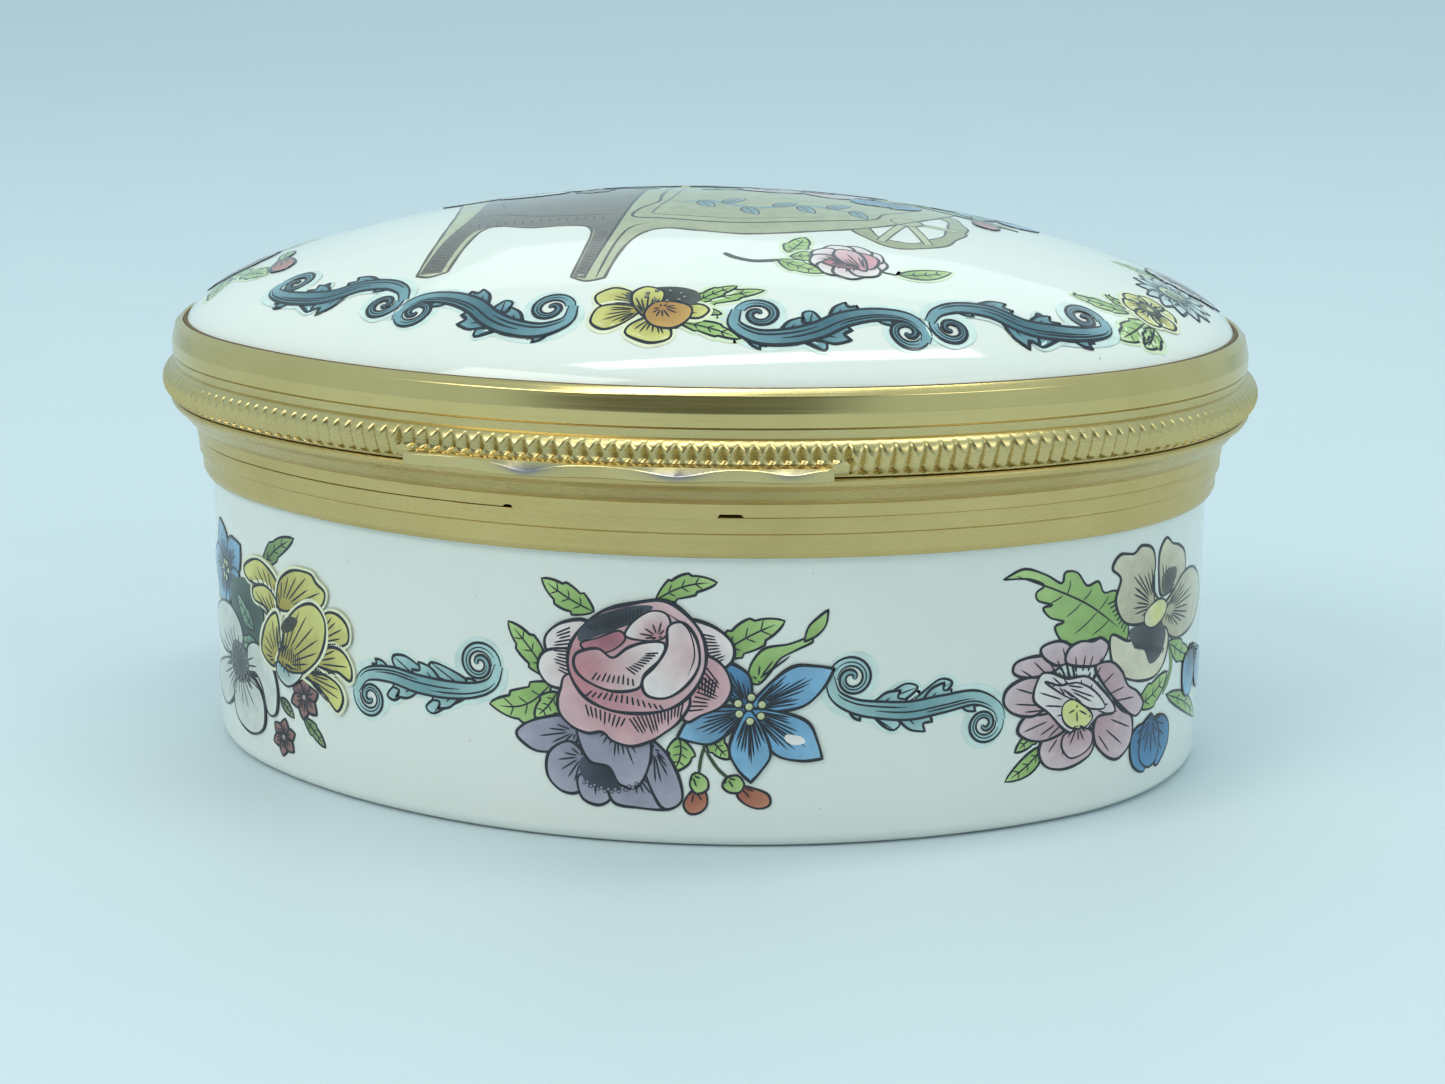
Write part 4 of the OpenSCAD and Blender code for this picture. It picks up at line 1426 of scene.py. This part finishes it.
# %% Left bouquet: blue star flower and greenery
star_x, star_y = -26.0, 9.6
for a, reach in ((1.95, 3.1), (0.75, 3.0), (-0.5, 2.5), (-1.9, 2.4), (3.1, 3.0), (4.0, 2.7)):
    tip = (star_x + reach * math.cos(a), star_y + reach * 0.85 * math.sin(a))
    petal_to(corner, (star_x, star_y), tip, 2.0, NAVY, SKY, 7)
for k in range(6):
    corner.bead(star_x + 0.42 * math.cos(k), star_y + 0.42 * math.sin(k), 0.17, ANTHER, ANTHER_PALE,
                0.05)
corner.wash([(-25.2, 9.0), (-24.2, 9.6), (-22.6, 9.6), (-21.6, 8.6), (-21.6, 6.6), (-22.8, 5.8),
             (-24.2, 6.2),
             (-25.0, 7.4)], "#2C3A36", "#4E6358")
corner.leaf((-22.4, 7.2), (-24.3, 8.8), 0.9, 2, 0.1, "#5F8068", "#9DBB9E")
corner.leaf((-22.2, 6.6), (-24.2, 6.4), 0.9, 2, 0.1, "#5F8068", "#9DBB9E")

# %% Left bouquet: anemone
CHALK, FOG = "#E3E2DA", "#B9BCB4"
for shape in (
    [(-25.0, 5.6), (-26.4, 5.2), (-28.2, 5.8), (-28.6, 6.8), (-27.2, 7.7), (-25.4, 7.9),
     (-24.0, 7.2), (-23.8, 6.2)],
    [(-25.4, 5.0), (-27.2, 4.6), (-28.4, 4.0), (-28.3, 2.9), (-26.8, 2.3), (-25.4, 3.0),
     (-24.8, 4.0)],
    [(-25.0, 3.9), (-25.2, 2.6), (-24.4, 1.9), (-22.9, 1.7), (-21.8, 2.3), (-21.7, 3.6),
     (-22.6, 4.6), (-24.0, 4.6)],
    [(-23.2, 5.0), (-23.2, 6.2), (-22.2, 6.6), (-21.0, 6.0), (-20.4, 4.6), (-20.6, 3.3),
     (-21.3, 3.2),
     (-21.8, 4.4), (-22.4, 5.0)],
):
    corner.petal(shape, FOG, CHALK, (-24.4, 5.0), rays=8, length=(0.25, 0.6))
corner.wash([(-25.4, 5.6), (-24.8, 6.2), (-23.7, 6.1), (-23.1, 5.3), (-23.5, 4.3), (-24.6, 4.1),
             (-25.4, 4.6)],
            "#2E2F33", "#66676A")
for k in range(14):
    a = k * 0.45
    corner.bead(-24.3 + 0.95 * math.cos(a), 5.15 + 0.85 * math.sin(a), 0.09, "#77786F", "#D8D8CC",
                0.03)

# %% Left bouquet: striped tulip
for shape, root in (
    ([(-20.4, 8.8), (-21.4, 9.6), (-22.8, 9.8), (-23.2, 10.4), (-22.0, 11.0), (-20.9, 10.8),
      (-20.0, 10.0)], (-20.2, 8.6)),
    ([(-20.4, 8.0), (-21.2, 8.7), (-22.2, 8.9), (-22.3, 9.5), (-21.2, 9.8), (-20.3, 9.4),
      (-19.9, 8.6)], (-20.0, 7.8)),
    ([(-20.0, 8.9), (-19.9, 10.2), (-18.8, 11.0), (-17.4, 11.1), (-16.9, 10.7), (-16.3, 10.3),
      (-16.6, 9.6),
      (-17.6, 9.3), (-18.6, 9.0)], (-19.8, 8.8)),
    ([(-17.0, 7.8), (-16.4, 9.2), (-15.5, 9.4), (-14.8, 8.9), (-14.8, 8.1), (-15.6, 7.7),
      (-16.3, 7.2)], (-17.2, 7.6)),
    ([(-17.4, 6.6), (-16.2, 7.6), (-15.2, 7.6), (-14.6, 6.9), (-14.7, 6.2), (-15.6, 6.5),
      (-16.6, 6.2)], (-17.6, 6.6)),
    ([(-18.2, 5.9), (-16.8, 6.2), (-15.6, 5.9), (-15.2, 5.2), (-15.6, 4.5), (-16.2, 4.9),
      (-17.0, 5.5)], (-18.2, 6.0)),
    ([(-21.2, 7.8), (-20.2, 8.6), (-19.9, 7.4), (-20.0, 6.4), (-20.6, 5.8), (-21.6, 6.4)],
     (-20.2, 6.2)),
    ([(-20.2, 6.0), (-19.8, 7.0), (-19.4, 8.2), (-18.4, 9.2), (-17.2, 9.6), (-16.4, 9.0),
      (-16.4, 7.9), (-17.0, 6.8),
      (-18.2, 5.9), (-19.2, 5.7)], (-19.8, 6.0)),
):
    corner.petal(shape, OCHRE, STRAW, root, rays=9, width=0.15, length=(0.3, 0.85), halo=PALE_STRAW)
corner.wash([(-19.8, 8.0), (-19.2, 8.6), (-18.4, 8.6), (-18.8, 8.0), (-19.6, 7.7)], "#33322E",
            "#4A4636")
corner.fringe((-20.1, 6.6), (-18.2, 6.0), (-18.6, 8.6), 10, 0.8, 0.09)
corner.petal([(-20.2, 6.1), (-19.2, 5.8), (-18.2, 5.9), (-18.6, 5.4), (-19.4, 5.0), (-20.2, 5.4)],
             TEAL, CHALK,
             (-19.6, 6.2), rays=5, width=0.11)
print("left bouquet:", len(corner.patches), "patches")

# %% [markdown]
# ### Painting the wall
#
# Six bouquets stand round the wall with scrolls between them. Each of the three
# that have been drawn is used twice, moved half way round. At the back the
# middle one and the scrolls are mirrored as well, so that they face their own
# neighbours.

# %% Lay the wall's paintings
LAP = oval_length(0)


def moved(shift, flip=1):
    """Moves a wall drawing along by an arc length, mirrored if flip is -1."""
    return lambda x, y: (flip * x + shift, y)


for art, name, place in (
    (middle, "paint_wall_front", moved(0)),
    (middle, "paint_wall_back", moved(LAP / 2, -1)),
    (aside, "paint_wall_right", moved(0)),
    (aside, "paint_wall_back_left", moved(-LAP / 2 + 1.5)),
    (corner, "paint_wall_left", moved(0)),
    (corner, "paint_wall_back_right", moved(LAP / 2 + 2.0)),
    (scroll_left, "scroll_wall_left", moved(0)),
    (scroll_right, "scroll_wall_right", moved(0)),
    (scroll_left, "scroll_wall_back_left", moved(-LAP / 2, -1)),
    (scroll_right, "scroll_wall_back_right", moved(LAP / 2, -1)),
):
    lay(art, name, on_wall, "base", place)

# %% [markdown]
# ### The lid's border
#
# Pairs of darker scrolls follow the edge of the dome and meet volute to volute.
# One pair is drawn for the right of the front and laid four times, mirrored at
# the left and turned to the back. A yellow flower sits where the pairs part.

# %% Lid border
DEEP, PEACOCK = "#3F6673", "#7FA6B0"
PALE_LEAF = "#DDE8C4"

border = Artwork()
scroll(border,
       [(4.6, -16.9), (4.7, -17.9), (5.8, -18.4), (7.2, -18.1), (8.4, -17.4), (9.5, -16.3),
        (10.8, -15.5),
        (12.2, -15.2), (13.1, -15.8), (13.2, -16.4)],
       (5.65, -17.0, 1.05, 1.4, 3.0, -1), (12.35, -16.15, 0.9, 1.4, -0.2, -1),
       [[(8.0, -17.5), (7.7, -16.9), (7.6, -16.4), (8.0, -16.2), (8.4, -16.6), (8.8, -17.0)],
        [(9.2, -16.6), (9.0, -16.0), (9.1, -15.4), (9.6, -15.3), (9.8, -15.7), (10.3, -16.0)],
        [(7.4, -18.0), (8.2, -18.3), (8.9, -18.4), (8.9, -18.0), (8.3, -17.7)]],
       DEEP, PEACOCK, 0.85, 0.16)
scroll(border,
       [(13.2, -15.1), (13.5, -14.2), (14.4, -13.4), (15.8, -13.0), (17.4, -13.2), (18.8, -12.7),
        (20.1, -11.9),
        (21.0, -10.9), (20.8, -10.2)],
       (14.2, -15.1, 0.92, 1.4, 3.0, 1), (19.95, -10.7, 1.0, 1.4, 0.3, 1),
       [[(17.2, -13.0), (16.6, -12.5), (15.9, -12.2), (15.9, -12.6), (16.4, -13.0), (17.0, -13.3)],
        [(18.8, -12.5), (18.4, -12.0), (17.9, -11.8), (17.9, -12.3), (18.2, -12.8)],
        [(19.4, -12.4), (18.9, -13.2), (18.3, -14.0), (17.9, -13.8), (18.2, -13.1), (18.8, -12.4)]],
       DEEP, PEACOCK, 0.85, 0.16)

parting = Artwork()
for base, tip, w in (((2.4, -16.9), (5.6, -15.1), 1.0), ((2.6, -16.7), (4.3, -15.0), 0.8),
                     ((2.4, -17.3), (4.0, -17.3), 0.6), ((2.2, -18.1), (5.1, -18.7), 0.8)):
    parting.leaf(base, tip, w, 3, 0.1, halo=PALE_LEAF)
for root, tip, w in (((0.4, -17.0), (-2.0, -16.3), 1.5), ((0.3, -17.4), (-1.9, -18.2), 1.6),
                     ((1.0, -17.8), (0.9, -19.4), 2.1), ((1.6, -17.4), (3.4, -17.2), 1.0)):
    petal_to(parting, root, tip, w, OCHRE, STRAW, 5, 1.0, PALE_STRAW)
parting.wash([(-0.6, -16.2), (0.4, -15.7), (1.6, -15.5), (2.6, -15.8), (2.8, -16.6), (1.6, -17.2),
              (-0.2, -16.9)],
             "#33322F", "#5C5B55")
petal_to(parting, (0.6, -17.9), (0.3, -15.6), 1.5, OCHRE, STRAW, 4, 1.0)
parting.petal([(0.8, -16.9), (1.6, -16.7), (2.5, -17.0), (2.6, -17.8), (2.0, -18.5), (1.0, -18.4),
               (0.5, -17.7)],
              "#A8743C", "#D0A45C", (1.2, -17.2), 7, 0.12)
for k in range(9):
    parting.bead(1.2 + 0.9 * math.cos(k * 0.7), -16.3 + 0.42 * math.sin(k * 0.7), 0.1, "#55544E",
                 "#C9C8BC", 0.03)
print("border:", len(border.patches), "patches")

# %% [markdown]
# ### The sprays at the lid's ends
#
# A spray of leaves, a yellow flower, a grey-white daisy and a pink rose fills
# the narrow end of the oval. It is laid at both ends, turned half round.

# %% End spray and rose sprig
spray = Artwork()
for base, tip, w in (((22.0, -8.2), (19.3, -8.7), 0.9), ((22.2, -7.6), (20.8, -7.2), 0.7),
                     ((22.8, -8.2), (21.7, -10.9), 1.3), ((23.2, -8.4), (22.9, -10.3), 0.9),
                     ((23.2, 0.6), (20.9, 0.2), 1.2), ((24.2, 3.8), (22.6, 6.4), 1.2),
                     ((24.4, 4.2), (24.2, 7.4), 1.1), ((23.0, 5.6), (20.9, 8.0), 1.2)):
    spray.leaf(base, tip, w, 3, 0.1, halo=PALE_LEAF)
for k in range(13):
    a = k * 2 * math.pi / 13 + 0.2
    petal_to(spray, (23.9, -2.4), (23.9 + 1.9 * math.cos(a), -2.4 + 2.7 * math.sin(a)), 0.8,
             "#8FA3A8", "#DDE6E4", 2)
spray.bead(23.9, -2.4, 0.75, "#8E9A78", "#DFE0B4", 0.12)
spray.bead(23.9, -2.4, 0.35, "#6E7A5A", "#A9AE86", 0.08)
for k in range(6):
    a = k * math.pi / 3 + 0.5
    petal_to(spray, (22.9, -6.7), (22.9 + 1.35 * math.cos(a), -6.7 + 1.55 * math.sin(a)), 1.2,
             OCHRE, STRAW, 3, 1.0,
             PALE_STRAW)
spray.bead(22.9, -6.7, 0.55, "#4A4A36", "#8C8A5C", 0.1)
spray.bead(22.9, -6.7, 0.2, "#B8B884", "#E4E3BC", 0.04)


def small_rose(art, x, y, r):
    """A little rose seen from the side: a ring of pale petals and a pink heart."""
    for k in range(9):
        a = k * 2 * math.pi / 9
        tip = (x + r * math.cos(a), y + r * 1.05 * math.sin(a))
        petal_to(art, (x, y), tip, r * 0.8, ROSE, CREAM, 3, 1.0)
    petal_to(art, (x - 0.6 * r, y - 0.35 * r), (x + 0.75 * r, y + 0.3 * r), r, "#B0606E", "#D99AA4",
             8, 1.0)
    petal_to(art, (x + 0.5 * r, y - 0.5 * r), (x - 0.3 * r, y + 0.65 * r), r * 0.7, ROSE, BLUSH, 4,
             1.0)


small_rose(spray, 24.3, 1.9, 1.9)

sprig = Artwork()
sprig.leaf((6.0, -10.9), (6.5, -8.7), 1.2, 2, -0.1, halo=PALE_LEAF)
sprig.pen([(3.1, -11.7), (3.7, -12.1), (4.6, -12.3), (5.6, -12.0), (6.8, -11.6)], 0.28, "#2E3B30",
          ends=(0.8, 1))
sprig.pen([(9.8, -11.4), (10.8, -11.6), (11.5, -11.6)], 0.16, "#2E3B30")
sprig.leaf((5.7, -11.9), (8.0, -12.7), 1.2, 2, -0.1, halo=PALE_LEAF)
sprig.leaf((6.2, -11.4), (8.0, -10.9), 1.1, 2, 0.1, halo=PALE_LEAF)
sprig.leaf((11.4, -11.6), (13.7, -10.1), 1.0, 0, -0.15, halo=PALE_LEAF)
small_rose(sprig, 8.9, -11.0, 1.85)
for x, y in ((14.3, 0.5), (-20.4, -6.8)):
    petal_to(sprig, (x - 0.5, y + 1.4), (x + 0.5, y - 1.4), 1.2, "#8E4A44", "#C27C70", 3, 1.0)
    sprig.leaf((x - 0.7, y + 2.9), (x - 0.4, y + 0.9), 0.8, 0, 0.1)

# %% [markdown]
# ### The wheelbarrow
#
# A country wheelbarrow, full of flowers, fills the crown. Its front panel
# carries a leaf trail, where such a box may have an inscription. The wheel comes
# first, then the near side and its legs, then the shade between them.

# %% Wheelbarrow
BARROW, BARROW_PALE, WOOD = "#A7A886", "#C4C4A2", "#3B3833"
barrow = Artwork(ink="#5C5248")
hub_x, hub_y = 10.8, -3.4
ring = [(hub_x + 2.5 * math.cos(t),
         hub_y + 4.4 * math.sin(t)) for t in (k * math.pi / 10 for k in range(20))]
barrow.outlined(ring, 0.75, BARROW, closed=True)
for k in range(6):
    x, y = ring[(k * 10 + 2) // 3]
    barrow.outlined([(hub_x, hub_y), ((hub_x + x) / 2, (y + hub_y) / 2), (x, y)], 0.35, BARROW_PALE,
                    0.08)
barrow.bead(hub_x, hub_y, 0.8, BARROW, BARROW_PALE, 0.1)
barrow.petal([(-13.8, 3.6, 1), (-12.9, 0), (-12.1, -4), (-11.7, -8), (-11.5, -13.2, 1),
              (-10.8, -13.5),
              (-10.0, -13.2, 1), (-9.9, -9.5), (-9.6, -7.7), (-8.8, -7.4), (-7.2, -8.1),
              (-5.2, -8.1),
              (-4.1, -8.6), (-3.7, -10.5), (-3.6, -14.7, 1), (-2.8, -15.1), (-2.0, -14.8, 1),
              (-1.8, -11.5),
              (-1.3, -9.5), (-0.3, -8.7), (1.4, -8.9), (3.4, -9.0), (5.2, -8.4), (7.0, -7.4),
              (8.6, -6.3),
              (10.2, -4.6), (11.4, -2.4), (12.4, 0.4), (12.9, 3.6, 1)],
             BARROW, BARROW_PALE, (2, -4), 0, 0.14)
barrow.wash([(-12.0, 3.5, 1), (-11.4, -1), (-11.0, -5), (-11.3, -9), (-11.4, -13.1, 1),
             (-10.3, -13.2, 1),
             (-10.2, -9), (-9.8, -7.7), (-8.8, -7.3), (-7.2, -8.0), (-5.2, -8.0), (-4.0, -8.6),
             (-3.6, -10.5),
             (-3.5, -14.7, 1), (-2.9, -14.9, 1), (-2.8, -10), (-3.0, -4), (-3.4, 3.5, 1)],
            "#7C726A", "#655C55", (-7, -3))
for line, w in (
    ([(-11.2, -5.2), (-9.6, -5.0), (-7.4, -6.0), (-5.2, -6.3), (-3.4, -6.2)], 0.16),
    ([(-10.9, -4.2), (-9.8, -3.2), (-10.3, -1.4), (-9.6, 0.4), (-8.2, 1.2)], 0.14),
    ([(-3.3, 3.4), (-3.0, -3.0), (-2.8, -9.0), (-2.9, -14.8)], 0.16),
    ([(-2.4, -14.8), (-2.3, -10.4), (-2.0, -8.6), (-1.2, -7.8)], 0.13),
    ([(-2.2, 3.4), (-1.9, -1.6), (-1.7, -3.6), (-2.3, -5.2), (-2.3, -6.8), (-0.6, -7.1),
      (1.6, -7.4),
      (3.4, -7.2), (5.4, -6.4), (7.4, -5.3), (9.2, -4.0), (9.5, -2.4), (10.4, -0.8), (11.0, 1.6)],
     0.17),
    ([(-1.4, 3.0), (-1.2, -2.0), (-1.5, -5.4), (-1.2, -6.3), (1.4, -6.6), (3.4, -6.4), (6.8, -4.9)],
     0.08),
):
    barrow.pen(line, w, WOOD)
for k in range(16):
    x = -11.3 + 0.1 * (k % 3)
    barrow.pen([(x, -7.2 - 0.36 * k), (x + 0.5, -7.5 - 0.36 * k), (x + 0.9, -7.4 - 0.36 * k)], 0.06,
               WOOD)
    x = -3.5 + 0.05 * (k % 3)
    barrow.pen([(x, -9.2 - 0.33 * k), (x + 0.5, -9.4 - 0.33 * k)], 0.06, WOOD)
    barrow.pen([(-10.6 + 0.45 * k, -6.6), (-10.5 + 0.45 * k, -7.3)], 0.06, WOOD)
barrow.pen([(-0.6, -3.9), (0.6, -3.0), (2.0, -3.8), (3.4, -4.2), (4.8, -3.2), (6.2, -2.6),
            (7.6, -3.0), (8.6, -2.2)],
           0.3, "#6F93A0")
for k, (x, y) in enumerate(((0.4, -3.1), (1.6, -3.6), (2.8, -4.1), (4.2, -3.7), (5.4, -2.8),
                            (6.8, -2.8), (8.0, -2.6))):
    up = 1 if k % 2 else -1
    barrow.leaf((x, y), (x + 0.9, y + up * 1.5), 0.8, 0, 0.1 * up, "#6F93A0", "#9DB9C0")

# %% Lay the lid's paintings
THICK, THIN, THINNEST = 0.003, 0.0015, 0.0006
for art, name, place, step, first in (
    (border, "border_front_right", lambda x, y: (x, y), THICK, BASE_COAT),
    (border, "border_front_left", lambda x, y: (1.7 - x, y - 0.3), THICK, BASE_COAT),
    (border, "border_back_right", lambda x, y: (x - 0.8, -y), THICK, BASE_COAT),
    (border, "border_back_left", lambda x, y: (0.8 - x, -y), THICK, BASE_COAT),
    (parting, "parting_flower_front", lambda x, y: (x, y), THICK, BASE_COAT),
    (parting, "parting_flower_back", lambda x, y: (0.8 - x, -y), THICK, BASE_COAT),
    (spray, "spray_right", lambda x, y: (x, y), THIN, BASE_COAT),
    (spray, "spray_left", lambda x, y: (-x, -y), THIN, BASE_COAT),
    (sprig, "rose_sprig", lambda x, y: (x, y), THICK, BASE_COAT),
    (barrow, "wheelbarrow", lambda x, y: (x, y), THINNEST, BASE_COAT),
    (corner, "barrow_flowers_left", lambda x, y: (x + 14.0, y * 0.95 - 1.0), THINNEST, 0.03),
    (aside, "barrow_flowers_right", lambda x, y: (x - 18.6, y * 0.95 - 1.5), THINNEST, 0.03),
    (middle, "barrow_flowers_middle", lambda x, y: (x * 1.05 - 1.0, y * 1.1 + 1.0), THINNEST, 0.05),
):
    lay(art, name, on_lid, "lid", place, step, first)

# %% [markdown]
# ## Floor, light and camera
#
# The box stands on a plain pale table under soft daylight: one broad window
# light from the front left, a smaller one from the right, a wash on the table's
# far end, and a pale sky for the rest. A narrow lamp overhead draws the bright
# line along the bead and the streak on the front of the lid.

# %% Floor
floor_mesh = bpy.data.meshes.new("floor")
half = 1.6
floor_mesh.from_pydata([(-half, -half, 0), (half, -half, 0), (half, half, 0), (-half, half, 0)], [],
                       [(0, 1, 2, 3)])
table_top = plain_material("pale_table", "#D7E1E6", "#D2DDE3", 20, 0.55)
floor_mesh.materials.append(table_top)
floor = bpy.data.objects.new("floor", floor_mesh)
bpy.context.scene.collection.objects.link(floor)
print("floor", 2 * half, "m square")


# %% Lights
def softbox(name, place, aim, size, watts, colour):
    """A rectangular area light that looks at a point; lengths in metres."""
    lamp = bpy.data.lights.new(name, "AREA")
    lamp.shape = "RECTANGLE"
    lamp.size, lamp.size_y = size
    lamp.energy = watts
    lamp.color = linear(colour)[:3]
    obj = bpy.data.objects.new(name, lamp)
    obj.location = place
    obj.rotation_euler = (Vector(aim) - Vector(place)).to_track_quat("-Z", "Y").to_euler()
    bpy.context.scene.collection.objects.link(obj)
    print(name, watts, "W")


softbox("window_left", (-0.30, -0.42, 0.46), (0, 0, 0.015), (0.34, 0.26), 1.15, "#FBFCF4")
softbox("window_right", (0.38, -0.25, 0.34), (0, 0, 0.015), (0.22, 0.22), 0.24, "#FBFCF4")
softbox("back_wash", (0.0, 0.95, 0.8), (0, 1.0, 0), (1.0, 0.6), 1.2, "#F4FAFC")
softbox("lamp_strip", (0.03, -0.04, 0.55), (0, 0, 0.0), (0.5, 0.08), 0.85, "#FBFFF2")

# %% [markdown]
# The room is darker in front of the table, where a person would stand. Polished
# brass needs this: without something dark to mirror, it looks like paint.

# %% Sky
world = bpy.data.worlds.new("daylight")
world.use_nodes = True
tree = world.node_tree
heading = node(tree, "ShaderNodeTexCoord").outputs["Generated"]
facing = node(tree, "ShaderNodeVectorMath", {0: heading, 1: (0.0, -0.84, 0.54)},
              operation="DOT_PRODUCT")
figure = node(tree, "ShaderNodeMapRange", {
    "Value": facing.outputs["Value"], "From Min": 0.79, "From Max": 0.93, "To Min": 0.0,
    "To Max": 1.0},
    interpolation_type="SMOOTHSTEP")
sky = node(tree, "ShaderNodeMix", {
    "Factor": figure.outputs["Result"], "A": linear("#BFDCE5"), "B": linear("#66736F")},
    data_type="RGBA")
tree.links.new(sky.outputs["Result"], tree.nodes["Background"].inputs["Color"])
bpy.context.scene.world = world

# %% Camera
yaw, rise, roll = math.radians(10.12), math.radians(13.45), math.radians(0.34)
target, distance = Vector((1.01, 0.0, 9.92)) * MM, 144
back = Vector((math.sin(yaw) * math.cos(rise), -math.cos(yaw) * math.cos(rise), math.sin(rise)))
right = Vector((math.cos(yaw), math.sin(yaw), 0.0))
up = back.cross(right)
side = right * math.cos(roll) + up * math.sin(roll)
head = up * math.cos(roll) - right * math.sin(roll)
lens = bpy.data.cameras.new("camera")
lens.sensor_width, lens.lens = 36.0, 67.9
lens.clip_start = 0.005
camera = bpy.data.objects.new("camera", lens)
camera.matrix_world = Matrix.Translation(target + back * distance * MM) @ Matrix((
    (side.x, head.x, back.x, 0), (side.y, head.y, back.y, 0), (side.z, head.z, back.z, 0),
    (0, 0, 0, 1)))
bpy.context.scene.collection.objects.link(camera)
bpy.context.scene.camera = camera
bpy.context.scene.view_settings.view_transform = "Standard"
print("camera", [round(c, 4) for c in camera.location], "lens", lens.lens)

# %% Update the scene and finish
bpy.context.view_layer.update()
